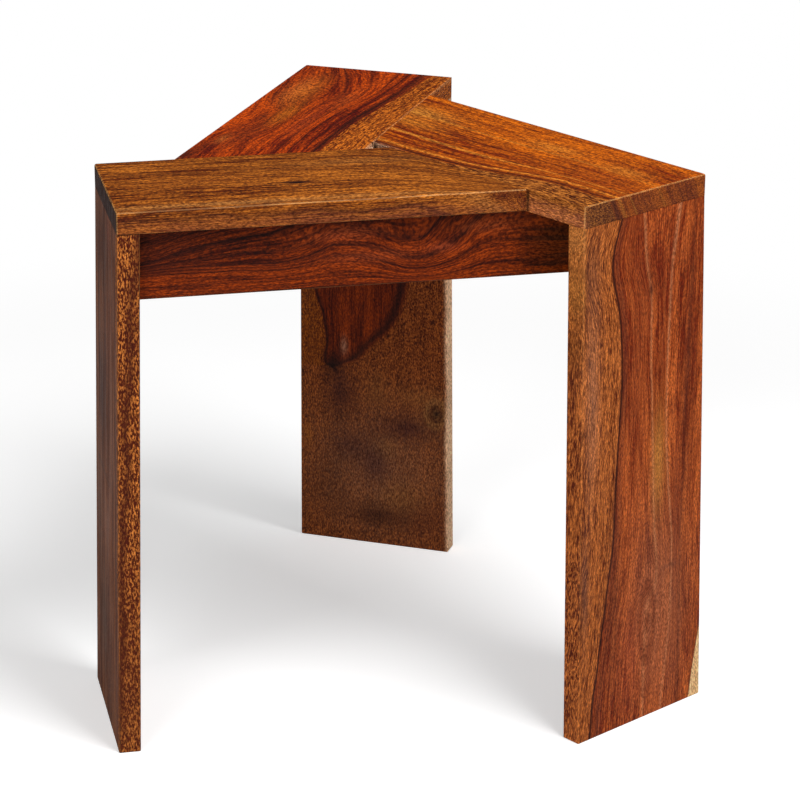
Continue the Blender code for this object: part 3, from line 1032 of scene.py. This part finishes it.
# %% Spots and knots
def spot_shape(tree, u, v, spot):
    """1 in the middle of a spot, falling softly to 0 around it."""
    place = add(tree, COMBINE, [u, v])
    away = add(tree, VECTOR_MATH, [place, (mm(spot.u), mm(spot.v), 0)], operation="SUBTRACT")
    size = (1 / mm(spot.half_u), 1 / mm(spot.half_v), 0)
    scaled = add(tree, VECTOR_MATH, [away, size], operation="MULTIPLY")
    far = add(tree, VECTOR_MATH, [scaled, scaled], "Value", operation="DOT_PRODUCT")
    shape = bell(tree, far)
    if not spot.rings:
        return shape
    radius = add(tree, MATH, [far], operation="SQRT")
    wave = add(tree, MATH, [radius, 2 * math.pi * spot.rings], operation="MULTIPLY")
    wave = add(tree, MATH, [wave], operation="COSINE")
    wave = add(tree, MATH, [wave, 0.5, 0.5], operation="MULTIPLY_ADD")
    return add(tree, MATH, [shape, wave], operation="MULTIPLY")


def push_aside(tree, v, shape, spot):
    """v beside a knot, pulled in so that the grain lines go round the knot."""
    beside = add(tree, MATH, [v, mm(spot.v)], operation="SUBTRACT")
    pull = add(tree, MATH, [shape, spot.push], operation="MULTIPLY")
    pull = add(tree, MATH, [beside, pull], operation="MULTIPLY")
    return add(tree, MATH, [v, pull], operation="SUBTRACT")


# %% Grain noise
SEED_STEP = Vector((1.0, 1.7, 2.3))
NOISE_ROUGHNESS = 0.55
NOISE_MIDDLE = 0.5
RING_DEPTH_SHARE = 4.0


def grain_noise(tree, flow, size, seed, detail):
    """Noise whose marks have a size in mm: along the grain, across it and into the plank."""
    scaled = add(tree, VECTOR_MATH, [flow, [1 / mm(value) for value in size]], operation="MULTIPLY")
    moved = add(tree, VECTOR_MATH, [scaled, seed * SEED_STEP])
    settings = {"Vector": moved, "Scale": 1.0, "Detail": detail, "Roughness": NOISE_ROUGHNESS}
    return add(tree, NOISE, settings)


# %% [markdown]
# ## Colouring the wood
# Sheesham heartwood runs from gold to a dark purplish brown. Broad bands, streaks and threads follow the
# rings, and open pores make short dark flecks along the grain. Sapwood is paler, often curly, with a
# sharp border and a dark line on it. Pores are really 0.2 mm wide, and are drawn 1 mm wide here, as coarse
# as they need to be to show. On the tops, which the camera sees at a flat angle, they are drawn twice as
# wide. The grit, a fine unevenness of every tone, is drawn as coarse as the pores for the same reason.
# The finish is thin, rubbed lacquer: a low sheen that lets the pores show.

# %% The layers of figure
BAND_LENGTH = 260
STREAK_LENGTH = 75
LAYER_CUTS = {
    # layer: (detail of its noise, the noise that becomes 0, the noise that becomes 1)
    "bands": (2.0, 0.36, 0.64),
    "streaks": (3.0, 0.36, 0.64),
    "threads": (2.0, 0.40, 0.60),
    "flecks": (2.0, 0.50, 0.62),
    "curl": (4.0, 0.41, 0.59),
    "grit": (1.0, 0.36, 0.64),
}
LAYER_SEED_STEP = 1.3
print("layers of figure:", ", ".join(LAYER_CUTS))


def figure_layers(tree, flow, wood):
    """Broad bands, streaks, threads, flecks, curl and grit, each as a value from 0 to 1."""
    sizes = {
        "bands": (BAND_LENGTH, wood.band, wood.band * RING_DEPTH_SHARE),
        "streaks": (STREAK_LENGTH, wood.streak, wood.streak * RING_DEPTH_SHARE),
        "threads": wood.thread_size,
        "flecks": wood.fleck_size,
        "curl": wood.curl_size,
        "grit": wood.grit_size,
    }
    layers = {}
    for number, (name, size) in enumerate(sizes.items(), 1):
        detail, low, high = LAYER_CUTS[name]
        noise = grain_noise(tree, flow, size, wood.seed + number * LAYER_SEED_STEP, detail)
        layers[name] = add(tree, MAP_RANGE, [noise, low, high], interpolation_type="SMOOTHSTEP")
    return layers


# %% One tone out of many layers
MIDDLE_TONE = 0.5


def tone_of(tree, layers, shares, contrast):
    """One tone, mostly from 0 to 1, out of layers that each have a share in it."""
    tone = None
    for name, share in shares.items():
        gain = contrast * share
        if tone is None:
            rest = MIDDLE_TONE - gain / 2
        else:
            rest = add(tree, MATH, [tone, gain / 2], operation="SUBTRACT")
        tone = add(tree, MATH, [layers[name], gain, rest], operation="MULTIPLY_ADD")
    return tone


# %% Speckles
# How much a dark speckle takes from red, green and blue, because dark pores look reddish
SPECKLE_DARKENS = (0.85, 1.0, 1.05)


def speckle(tree, colour, layer, brighter, darker):
    """Makes the colour brighter by a share where the layer is 0, and darker by a share where it is 1."""
    light = [1.0 + brighter] * 3
    dark = [1.0 - darker * share for share in SPECKLE_DARKENS]
    factor = paint(tree, (*light, 1.0), (*dark, 1.0), layer)
    return add(tree, VECTOR_MATH, [colour, factor], operation="MULTIPLY")


# %% Heartwood and its lines
LINE_FADE = 0.6


def heartwood(tree, layers, wood):
    """Heartwood without its drawn lines."""
    threads_share = 1 - wood.bands_share - wood.streaks_share
    shares = {"bands": wood.bands_share, "streaks": wood.streaks_share, "threads": threads_share}
    tone = tone_of(tree, layers, shares, wood.contrast)
    return paint(tree, linear(wood.dark), wood.light, tone)


def draw_lines(tree, colour, layers, height, levels, wood):
    """The drawn lines, grain lines and two painted shadow lines, a little fainter on the light bands."""
    for line, level in zip(wood.lines, levels):
        if line.share:
            shape = hill(tree, height, level, mm(line.width))
            uneven = add(tree, MAP_RANGE, [layers["bands"], 0.0, 1.0, line.share, line.share * LINE_FADE])
            mask = add(tree, MATH, [shape, uneven], operation="MULTIPLY")
            colour = paint(tree, colour, line.colour, mask)
    return colour


# %% Sapwood
PLAIN_LAYERS = ("bands", "streaks", "threads")


def add_sapwood(tree, colour, layers, u, v, sap, side):
    """Sapwood below (side 1) or above (side -1) its border, with the dark line on the heartwood's side."""
    depth = add(tree, MATH, [drawn_curve(tree, u, sap.border), v], operation="SUBTRACT")
    depth = add(tree, MATH, [depth, side], operation="MULTIPLY")
    shares = dict.fromkeys(PLAIN_LAYERS, (1 - sap.curl) / len(PLAIN_LAYERS))
    shares["curl"] = sap.curl
    tone = tone_of(tree, layers, shares, sap.contrast)
    if sap.thinness != 1.0:
        tone = add(tree, MATH, [tone, 0.0], operation="MAXIMUM")
        tone = add(tree, MATH, [tone, sap.thinness], operation="POWER")
    pale = paint(tree, linear(sap.dark), sap.light, tone)
    edge = hill(tree, depth, -mm(sap.edge_width), mm(sap.edge_width))
    colour = paint(tree, colour, sap.edge, edge, sap.edge_share)
    soft = mm(sap.softness)
    inside = add(tree, MAP_RANGE, [depth, -soft, soft], interpolation_type="SMOOTHSTEP")
    return paint(tree, colour, pale, inside)


# %% [markdown]
# ### Wear and painted highlights
# Two places show how the table was made and used. The eased edges are lighter, more so on the tops:
# partly wear, because sandpaper and hands take the stain off them, and partly a painted highlight that
# stands in for the shine of the lamps on the rounds. And the faces round the small hole are nearly raw,
# because no brush or pad gets in there. The first is read from the mark on the planks' faces, and the
# second from how near a point is to the pinwheel's centre, so neither needs a picture.

# %% Edges lightened by wear and a painted highlight, and the raw wood in the hole
EDGE_WEAR_AND_HIGHLIGHT_COLOUR = "DDA260"
EDGE_WEAR_AND_HIGHLIGHT_SHARES = {"top_board": 0.55, "leg": 0.12, "rail": 0.15}
RAW_COLOUR = "F6D2B0"
RAW_SHARE = 0.85
RAW_REACH = mm(24)
UPRIGHT_COSINE = 0.5


def raw_wood(tree):
    """1 on the upright faces round the pinwheel's hole, which the lacquer hardly reached."""
    source = tree.nodes.new(TEX_COORD)
    flat = add(tree, VECTOR_MATH, [source.outputs["Object"], (1, 1, 0)], operation="MULTIPLY")
    away = add(tree, VECTOR_MATH, [flat, (centre.x, centre.y, 0)], "Value", operation="DISTANCE")
    near = add(tree, MATH, [away, RAW_REACH], operation="LESS_THAN")
    rise = add(tree, SEPARATE, [source.outputs["Normal"]], "Z")
    rise = add(tree, MATH, [rise], operation="ABSOLUTE")
    upright = add(tree, MATH, [rise, UPRIGHT_COSINE], operation="LESS_THAN")
    return add(tree, MATH, [near, upright], operation="MULTIPLY")


# %% [markdown]
# ### The material
# Lacquered sheesham: brown wood under a clear, rubbed coat. To the eye the coat is a wide, weak sheen that
# breaks up over the pores, so the roughness goes with the streaks and the bump with the threads and
# flecks. The IOR is that of lacquer, and the specular level is low, because rubbing leaves little gloss.

# %% The whole material
WOBBLE_SIZE = (55, 14, 56)
WOBBLE_DETAIL = 2.0
LIGHT_FLECKS_SHARE = 0.35
LEAST_EDGE_WEAR_AND_HIGHLIGHT = 0.35
ROUGHNESS_LOW = 0.42
ROUGHNESS_HIGH = 0.60
GRAIN_DEPTH = mm(0.2)
GRAIN_STRENGTH = 0.35
WOOD_SPECULAR = 0.15
WOOD_IOR = 1.5


def rosewood(name, kind, arm, wood):
    """Rubbed lacquer on sheesham, for one plank."""
    material, tree, shader = new_material(name)
    (u, v, n), end = plank_coordinates(tree, kind, arm)
    place = add(tree, COMBINE, [u, v, n])
    wobble = grain_noise(tree, place, WOBBLE_SIZE, wood.seed, WOBBLE_DETAIL)
    wobble = add(tree, MATH, [wobble, NOISE_MIDDLE], operation="SUBTRACT")
    v = add(tree, MATH, [n, wood.tilt, v], operation="MULTIPLY_ADD")
    v = add(tree, MATH, [wobble, 2 * mm(wood.wander), v], operation="MULTIPLY_ADD")
    shapes = [spot_shape(tree, u, v, spot) for spot in wood.spots]
    for spot, shape in zip(wood.spots, shapes):
        if spot.push:
            v = push_aside(tree, v, shape, spot)
    height, levels = ring_height(tree, u, v, wood.lines)
    layers = figure_layers(tree, add(tree, COMBINE, [u, height, n]), wood)

    colour = heartwood(tree, layers, wood)
    colour = draw_lines(tree, colour, layers, height, levels, wood)
    for sap, side in ((wood.low_sap, 1.0), (wood.high_sap, -1.0)):
        if sap:
            colour = add_sapwood(tree, colour, layers, u, v, sap, side)
    if kind == "top_board":
        colour = paint(tree, colour, RAW_COLOUR, raw_wood(tree), RAW_SHARE)
    for spot, shape in zip(wood.spots, shapes):
        colour = paint(tree, colour, spot.colour, shape, spot.share)
    colour = paint(tree, colour, wood.end, end, wood.end_share)
    colour = speckle(tree, colour, layers["flecks"], wood.fleck * LIGHT_FLECKS_SHARE, wood.fleck)
    colour = speckle(tree, colour, layers["grit"], wood.grit, wood.grit)
    # Painted highlight and wear: the eased edges are lightened, broken up along the threads.
    edge_wear_and_highlight = add(tree, ATTRIBUTE, out="Fac", attribute_name="eased")
    patchy_edge = add(tree, MAP_RANGE, [layers["threads"], 0.0, 1.0, LEAST_EDGE_WEAR_AND_HIGHLIGHT, 1.0])
    edge_wear_and_highlight = add(tree, MATH, [edge_wear_and_highlight, patchy_edge], operation="MULTIPLY")
    colour = paint(tree, colour, EDGE_WEAR_AND_HIGHLIGHT_COLOUR, edge_wear_and_highlight, EDGE_WEAR_AND_HIGHLIGHT_SHARES[kind])

    rough = add(tree, MAP_RANGE, [layers["streaks"], 0.0, 1.0, ROUGHNESS_HIGH, ROUGHNESS_LOW])
    relief = add(tree, MATH, [layers["flecks"], -1.0, layers["threads"]], operation="MULTIPLY_ADD")
    bump = add(tree, BUMP, {"Height": relief, "Distance": GRAIN_DEPTH, "Strength": GRAIN_STRENGTH})
    for value, socket in ((colour, "Base Color"), (rough, "Roughness"), (bump, "Normal")):
        tree.links.new(value, shader.inputs[socket])
    shader.inputs["IOR"].default_value = WOOD_IOR
    shader.inputs["Specular IOR Level"].default_value = WOOD_SPECULAR
    return material


# %% [markdown]
# ## The nine woods
# Every plank of the real table is its own piece of timber, so each gets its own record. The places are in
# mm in the plank's own u and v, and the colours are what the wood is under even light, except for the
# marks noted as painted light, shade or shadow.
#
# The left top is plain and olive brown with one small knot, and its lines open out towards the hole. The
# last line and the long, thin spots lie along its front edge: pale where the lacquer is rubbed through and
# a highlight is painted, and dark just below, where the last line is a painted shadow.

# %% The left top board
LEFT_TOP = Wood(
    **TOP_MARKS,
    light="B1651C", dark="531C00", seed=1.0, tilt=0.3, band=22, streak=5.0, bands_share=0.22,
    streaks_share=0.26, fleck=0.55, end="240904", end_share=0.95,
    lines=(
        Line(((260, 22), (100, 26), (0, 34), (-45, 60), (-100, 112)), "5A280C", 0.42, 2.0),
        Line(((260, 50), (100, 56), (20, 64), (-22, 76), (-55, 106), (-100, 140)), "5A280C", 0.46, 2.0),
        Line(((260, 96), (100, 100), (20, 108), (-30, 122), (-60, 140), (-100, 166)), "5A280C", 0.40, 2.4),
        Line(((260, 150), (100, 150), (0, 152), (-100, 170)), "BE8040", 0.55, 4.5),
        # Painted shadow: a thin dark line just below the front edge.
        Line(((260, 162.5), (100, 162.5), (0, 162.7), (-100, 178)), "351006", 0.80, 0.7),
    ),
    spots=(
        Spot(93, 100, 11, 4.0, "1E0408", 1.0, 0.3),
        Spot(93, 100, 8, 3.0, "1E0408", 1.0),
        Spot(80, 165, 400, 2.5, "763E28", 0.50),
        Spot(80, 169, 400, 1.4, "B87048", 0.45),
        Spot(-80, 161, 17, 2, "4A140C", 0.75),
        Spot(180, 80, 60, 12, "74380F", 0.35),
        Spot(30, 45, 60, 10, "A46A30", 0.35),
    ),
)
print("left top board:", len(LEFT_TOP.lines), "lines and", len(LEFT_TOP.spots), "spots")

# %% [markdown]
# ### The front top board
# Orange gold heartwood with a strip of brown sapwood along the hole's side. The strip is only a few
# millimetres wide near the hole and widens outwards. A gold line and a dark one run beside its border.
# The four small, almost black spots are painted shadow in gaps: two in the hole and two where the left
# board's end stops.

# %% The front top board
FRONT_BORDER = ((-30, 6), (13, 6.5), (50, 7.5), (75, 9), (100, 13), (129, 20), (162, 30), (201, 37),
                (262, 36))
FRONT_TOP = Wood(
    **TOP_MARKS,
    light="D16908", dark="6B1B00", seed=2.4, tilt=-0.5, band=18, streak=4.0, bands_share=0.32,
    streaks_share=0.34, end="5A3626", end_share=0.48,
    low_sap=Sapwood(FRONT_BORDER, "B56D28", "491700", 0.60, "440E04", 0.95, 4.0, contrast=1.9),
    lines=(
        Line(FRONT_BORDER),
        Line(tuple((u, v + 12) for u, v in FRONT_BORDER), "E08E30", 0.85, 1.9),
        Line(tuple((u, v + 17) for u, v in FRONT_BORDER), "6A2404", 0.70, 1.7),
        Line(((-100, 52), (60, 50), (160, 58), (262, 62)), "E49A38", 0.50, 1.8),
        Line(((-100, 80), (60, 76), (160, 80), (262, 76)), "5E1C04", 0.60, 1.8),
        Line(((-100, 106), (60, 102), (160, 104), (262, 98)), "E49A38", 0.45, 1.8),
        Line(((-100, 128), (60, 124), (160, 130), (262, 122)), "5E1C04", 0.55, 1.6),
    ),
    spots=(
        Spot(-61, 110, 45, 16, "D08A34", 0.55),
        Spot(113, 117, 30, 9, "D2862E", 0.50),
        Spot(208, 111, 26, 9, "D2862E", 0.50),
        Spot(80, 159, 200, 3, "5E1E06", 0.50),
        Spot(150, -1, 400, 5, "DC855A", 0.40),
        # Painted shadow: almost black in the gap where the left board's end stops.
        Spot(190.2, 4, 1.7, 3.2, "0C0402", 0.97),
        Spot(190.2, -1, 1.7, 4.0, "0C0402", 0.95),
        Spot(8, 8.5, 16, 1.4, "B8724E", 0.55),
        # Painted shade on the face at the hole's corner, and painted shadow, almost black, in the hole.
        Spot(3, 4.5, 14, 2.8, "543220", 0.92),
        Spot(-10, 4, 4.5, 3.6, "080302", 0.98),
        Spot(-10, -1, 4.5, 4.0, "080302", 0.98),
        Spot(-40, 80, 40, 13, "DC8A2C", 0.40),
        Spot(215, 85, 45, 14, "94400C", 0.40),
        Spot(205, 88, 85, 60, "863A0C", 0.30),
    ),
)
print("front top board:", len(FRONT_TOP.lines), "lines and", len(FRONT_TOP.spots), "spots")

# %% [markdown]
# ### The back top board
# Red heartwood with a dark band beside its golden sapwood, and four thin dark lines that swing round a
# lighter, plainer field. A real board shows this where it was sawn close past a branch.

# %% The back top board
BACK_BORDER = ((-60, 43), (-39, 43.7), (49, 45), (100, 40), (169, 33.6), (228, 29.7), (262, 26))
BACK_TOP = Wood(
    **TOP_MARKS,
    light="C14801", dark="5A0B00", seed=3.2, tilt=0.5, band=20, streak=3.6, bands_share=0.32,
    streaks_share=0.34, end="5A2A16", end_share=0.5,
    low_sap=Sapwood(BACK_BORDER, "CB6E1C", "5E1B00", 0.6, "32100A", 0.6, 1.5),
    lines=(
        Line(BACK_BORDER),
        Line(((-60, 49), (4, 49), (57, 49.5), (111, 45), (180, 39), (262, 33)), "2C0C06", 0.92, 3.8),
        Line(((-60, 56), (8, 61.5), (70, 60), (118, 57), (178, 51), (262, 49)), "430E04", 0.90, 1.4),
        Line(((-60, 69), (-13, 73), (37, 73.5), (105, 69), (133, 64), (180, 58), (241, 60), (262, 63)),
             "430E04", 0.90, 1.4),
        Line(((-60, 82), (-16, 83.7), (44, 83), (82, 80), (120, 75.5), (172, 69), (237, 83), (262, 92)),
             "430E04", 0.90, 1.5),
        Line(((-60, 103), (-19, 105), (29, 99), (87, 99), (131, 95), (154, 89), (210, 99), (262, 121)),
             "4A1204", 0.85, 1.5),
        Line(((-100, 128), (-18, 131), (20, 122), (61, 117), (100, 121), (136, 130), (200, 139),
              (262, 147)), "6E2408", 0.50, 2.0),
    ),
    spots=(
        Spot(61, 133, 12, 4, "571A06", 0.85, 0.6),
        Spot(164, 134, 42, 12, "CC6C2C", 0.60),
        Spot(-86, 155, 36, 11, "3A1006", 0.88),
        Spot(-40, 148, 24, 6, "4A1408", 0.50),
        Spot(0, 128, 60, 18, "8E3C10", 0.35),
        Spot(148, 78, 40, 9, "C05A20", 0.30),
        Spot(-22, 142, 14, 5, "C46828", 0.55),
        Spot(60, 90, 60, 8, "B04A1C", 0.35),
        Spot(159, 126, 55, 15, "B8641A", 0.50),
        Spot(76, 116, 36, 8, "C0701A", 0.45),
        # Painted highlight: a pale line along the rounded edge at the seam on the hole's side.
        Spot(100, 7.6, 900, 0.8, "D89058", 0.60),
        # Painted shadow: almost black in the hole's corner.
        Spot(9.5, 7, 1.6, 2.0, "0A0402", 0.95),
    ),
)
print("back top board:", len(BACK_TOP.lines), "lines and", len(BACK_TOP.spots), "spots")

# %% [markdown]
# ### The left leg
# Purplish brown heartwood in broad, smeared bands, with a strip of curly sapwood that shows on the front
# edge: thin light curls on dark wood, close together.

# %% The left leg
LEFT_LEG = Wood(
    light="8D532E", dark="4F2516", seed=4.1, tilt=0.2, band=14, streak=6.0, bands_share=0.50,
    streaks_share=0.25, end="3E2A22", fleck=0.28, contrast=1.6, curl_size=(3.4, 1.2, 1.4),
    high_sap=Sapwood(((0, 157), (120, 155), (250, 153), (400, 150), (490, 152)), "E48A3C", "4E1606", 0.78,
                     "6A3A22", 0.5, 3.0, 3.0, 1.0, thinness=2.8),
    spots=(
        Spot(472, 104, 17, 9, "8E4A34", 0.60),
        Spot(236, 70, 3, 60, "40302A", 0.50),
        Spot(310, 55, 60, 28, "342426", 0.70),
        Spot(190, 90, 50, 34, "8A5A44", 0.45),
        Spot(180, 30, 60, 20, "3E2C24", 0.55),
        Spot(450, 60, 50, 60, "3C201A", 0.65),
        Spot(390, 110, 40, 22, "7A4834", 0.45),
        Spot(90, 60, 60, 26, "3A2C26", 0.60),
        Spot(40, 110, 50, 24, "7A523E", 0.40),
        Spot(300, 120, 120, 12, "7E5038", 0.45),
        Spot(60, 160, 90, 12, "6A3418", 0.50),
        # Painted shade: a dark strip where the front edge rounds off towards the inner face.
        Spot(250, 165.4, 900, 0.9, "4A1A0A", 0.80),
    ),
)
print("left leg:", len(LEFT_LEG.spots), "spots")

# %% [markdown]
# ### The front leg
# A wide strip of golden brown sapwood, a crisp dark line on its border, and orange red heartwood with a
# small knot and a gold streak. A corner of pale outer sapwood shows at the foot.

# %% The front leg
FRONT_LEG_BORDER = ((0, 16.6), (39, 21), (86, 29), (143, 38), (189, 45), (247, 47), (303, 51), (340, 53),
                    (406, 48), (449, 39), (490, 51))
FRONT_LEG = Wood(
    light="CC662B", dark="6F1E03", seed=5.3, tilt=-0.2, band=20, streak=4.0, bands_share=0.32,
    streaks_share=0.22, end="4E2A1C", fleck=0.32, contrast=1.35, grit=0.36,
    low_sap=Sapwood(FRONT_LEG_BORDER, "CF7534", "5A1C04", 0.50, "200A08", 0.97, 1.4, contrast=1.75),
    high_sap=Sapwood(((0, 150), (40, 157), (80, 166), (200, 180), (490, 180)), "FFE4AC", "EFB87C", 0.15,
                     "7A4020", 0.6, 1.0),
    lines=(
        Line(FRONT_LEG_BORDER),
        Line(((0, 27), (39, 31), (86, 38), (143, 46), (189, 51.5), (247, 53), (303, 56.5), (340, 58),
              (406, 54), (449, 46), (490, 58)), "5A2418", 0.55, 4.0),
        Line(((0, 88), (110, 92), (136, 104), (190, 100), (340, 92), (416, 90), (440, 84), (490, 78)),
             "D88A58", 0.60, 1.6),
        Line(((0, 112), (136, 124), (250, 114), (300, 112), (400, 115), (434, 117), (490, 127)),
             "DC9060", 0.60, 1.6),
        Line(((0, 136), (145, 134), (250, 137), (351, 140.5), (490, 145)), "5E2410", 0.70, 2.2),
    ),
    spots=(
        Spot(416, 90, 5, 2.2, "3A120A", 0.90, 0.6),
        # Painted shade: a greyish strip beside the corner between the narrow face and the outer face.
        Spot(150, 10, 45, 5, "5E4038", 0.55),
        Spot(445, 14, 30, 12, "6E3E28", 0.50),
        Spot(378, 3, 20, 4, "74400F", 0.45),
        Spot(430, 3, 26, 4, "D08838", 0.40),
        Spot(330, 17, 90, 9, "C88C68", 0.32),
        Spot(110, 48, 90, 9, "481A10", 0.45),
        Spot(480, 2, 22, 5, "E0964A", 0.40),
        Spot(250, 103, 46, 8, "D08A3C", 0.72),
        Spot(143, 121, 2.5, 12, "5A1E12", 0.75),
        Spot(430, 105, 36, 26, "74280E", 0.45),
        Spot(110, 105, 90, 36, "B47452", 0.45),
        Spot(350, 74, 120, 14, "6E2610", 0.40),
        Spot(95, 92, 70, 19, "6A260E", 0.80, rings=2.0),
        Spot(300, 140, 120, 10, "6A280E", 0.45),
        Spot(70, 110, 50, 22, "B4623A", 0.35),
        Spot(60, 70, 45, 14, "B4522E", 0.35),
    ),
)
print("front leg:", len(FRONT_LEG.lines), "lines and", len(FRONT_LEG.spots), "spots")

# %% [markdown]
# ### The back leg
# Brown sapwood on both sides of a wedge of red heartwood, which ends in a dark point. Both borders meet
# there, so the sapwood is one field below it. Five spots on one place make the knot at the side: a pale
# ring, a dark one, and a dark pith in a lighter core. Four long ones follow the flared side face, which
# is pale raw wood, painted paler still as painted light because that face lies in shade.

# %% The back leg
BACK_LEG_LOW = ((0, 260), (191, 260), (194, 131), (198, 118), (207, 100), (221, 87), (248, 63), (285, 50),
                (330, 42), (490, 35))
BACK_LEG_HIGH = ((0, 262), (191, 262), (194, 133), (198, 138), (207, 139), (216, 137.7), (249, 141.6),
                 (275, 149), (330, 154), (490, 156))
SIDE_FACE = ((0, 3.6), (150, 4.6), (290, 5.6), (420, 6.4))
BACK_LEG = Wood(
    light="8B3302", dark="480F00", seed=6.6, tilt=0.05, band=18, streak=3.0, end="3E2418", grit=0.42,
    curl_size=(2.4, 1.5, 1.5),
    low_sap=Sapwood(BACK_LEG_LOW, "9E521E", "421502", 0.60, "2A0C06", 0.85, 6.5, 4.0, 1.3),
    high_sap=Sapwood(BACK_LEG_HIGH, "994E0E", "4B1901", 0.60, "260A04", 0.85, 2.0, 1.0, 1.05),
    spots=(
        Spot(80, 80, 80, 90, "966648", 0.50),
        Spot(109, 73, 12, 12, "9C683A", 0.45),
        Spot(55, 54, 18, 24, "9A6430", 0.38),
        Spot(172, 82, 20, 12, "965C2C", 0.40),
        Spot(170, 40, 10, 22, "A0622E", 0.40),
        Spot(115, 158, 12, 5, "A25E22", 0.50),
        Spot(197, 130, 12, 8, "1A0804", 0.97, 0.7),
        Spot(218, 117, 9, 3.4, "946850", 0.75),
        Spot(168, 121, 27, 14, "42201A", 0.75),
        Spot(134, 48, 14, 34, "44221E", 0.75),
        Spot(90, 84, 22, 18, "4A2A28", 0.65),
        Spot(107, 110, 18, 22, "4A2A24", 0.65),
        Spot(62, 138, 22, 20, "4A2818", 0.40),
        Spot(32, 80, 12, 34, "361A12", 0.70),
        Spot(35, 27, 26, 24, "5A2410", 0.40),
        Spot(154, 18.5, 18, 14, "A06C3A", 0.35, 0.6),
        Spot(154, 18.5, 12, 10, "341608", 0.95),
        Spot(154, 18.5, 17, 12.5, "A4703E", 0.70, rings=1.15),
        Spot(154, 18.5, 6.0, 5.0, "6E4224", 0.60),
        Spot(154, 18.5, 3.6, 3.2, "1A0A04", 0.95),
        # The flared side face: pale raw wood, painted paler still as painted light, since the face lies in
        # shade.
        *(Spot(u, v, 110, 2.9, "FFD2A6", 0.98) for u, v in SIDE_FACE),
    ),
)
print("back leg:", len(BACK_LEG.spots), "spots")

# %% [markdown]
# ### The rails
# The left rail is in full view: dark red with black lines that heave up in two waves. The other two are
# hardly seen, so they share one plainer figure and differ by their seeds.

# %% The left rail's lines
RAIL_LINES = (
    Line(((240, 426), (-140, 426)), "3A1006", 0.3, 1.5),
    Line(((240, 436), (100, 435), (69, 438), (36, 436), (0, 430), (-20, 430), (-46, 434), (-70, 440),
          (-140, 442)), "330E05", 0.55, 1.3),
    Line(((240, 446), (158, 446), (122, 444), (105, 445), (87, 448), (69, 453), (52, 453), (36, 450),
          (17, 443), (-2, 438), (-21, 439), (-33, 442), (-46, 447), (-59, 454), (-71, 458), (-90, 459),
          (-140, 457)), "280A04", 0.70, 1.4),
    Line(((240, 450), (195, 452), (158, 452), (122, 451), (99, 454), (81, 460), (69, 464), (55, 463),
          (36, 460), (20, 454), (5, 448), (-11, 447), (-26, 452), (-36, 458), (-46, 466), (-58, 480),
          (-80, 492), (-140, 497)), "280A04", 0.85, 1.5),
    Line(((240, 454), (190, 458), (160, 461), (140, 463), (122, 462), (110, 462.5), (93, 466), (81, 471),
          (73, 476), (63, 478), (30, 475), (17, 469), (5, 465), (-5, 465), (-15, 471), (-22, 480),
          (-32, 494), (-60, 504), (-140, 508)), "280A04", 0.70, 1.3),
    # The last line also marks where the board's shadow on the rail begins: a painted shadow edge.
    Line(((240, 456), (222, 460), (204, 465), (187, 469), (152, 475), (116, 481), (95, 488), (60, 498),
          (0, 508), (-140, 514)), "240804", 0.85, 2.0),
)
print("left rail:", len(RAIL_LINES), "lines")

# %% The rails
LEFT_RAIL = Wood(
    light="8D3504", dark="340800", seed=7.7, tilt=0.2, band=9, streak=2.2, bands_share=0.30,
    streaks_share=0.40, wander=1.2, contrast=1.4, grit=0.45, lines=RAIL_LINES, end="3A1C12",
    spots=(
        Spot(62, 473, 30, 6, "A84A22", 0.55),
        Spot(35, 452, 40, 6, "9A4420", 0.35),
        Spot(-70, 474, 26, 7, "A04A22", 0.45),
        Spot(-30, 456, 16, 5, "A64824", 0.40),
        # Painted shade: the rail's two ends darkened, under the board and beside the legs.
        Spot(-135, 455, 32, 40, "33200F", 0.60),
        Spot(225, 470, 40, 22, "3A1206", 0.50),
    ),
)
PLAIN_RAIL = replace(LEFT_RAIL, spots=(), lines=(
    Line(((260, 440), (120, 446), (20, 438), (-140, 444)), "280A04", 0.6, 1.5),
    Line(((260, 458), (120, 470), (20, 458), (-140, 466)), "280A04", 0.6, 1.5),
))

# %% [markdown]
# ## Dressing the planks
# Each plank now gets the material that is built from its record. Nine materials are more than a shop
# would name, but a plank's figure is its own, so they share one recipe and nothing else.

# %% Give each plank its wood
WOODS = {
    ("top_board", "left"): LEFT_TOP,
    ("top_board", "front"): FRONT_TOP,
    ("top_board", "back"): BACK_TOP,
    ("leg", "left"): LEFT_LEG,
    ("leg", "front"): FRONT_LEG,
    ("leg", "back"): BACK_LEG,
    ("rail", "left"): LEFT_RAIL,
    ("rail", "front"): replace(PLAIN_RAIL, seed=8.9),
    ("rail", "back"): replace(PLAIN_RAIL, seed=9.8),
}
for (kind, arm), wood in WOODS.items():
    plank = planks[kind, arm]
    plank.data.materials.clear()
    plank.data.materials.append(rosewood(f"lacquered_sheesham_{kind}_{arm}", kind, arm, wood))
    print(plank.name, len(plank.active_material.node_tree.nodes), "nodes")

# %% [markdown]
# ## Joining the pieces to the frame
# The table is one rigid body, which the frame calls root, so every piece rides on it, and the solids it
# stands in for are hidden. Nothing is moved: the pieces were measured from the solids, so they already
# lie in the same places.

# %% Join the pieces to the frame
for (kind, arm), plank in planks.items():
    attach(plank, "root")
    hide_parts(f"{kind}_{arm}")
for kind, piece in fastener_pieces.items():
    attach(piece, "root")
    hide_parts(*[fastener.node for fastener in fasteners[kind]])
print(len(planks) + len(fastener_pieces), "pieces for", len(nodes), "solids")
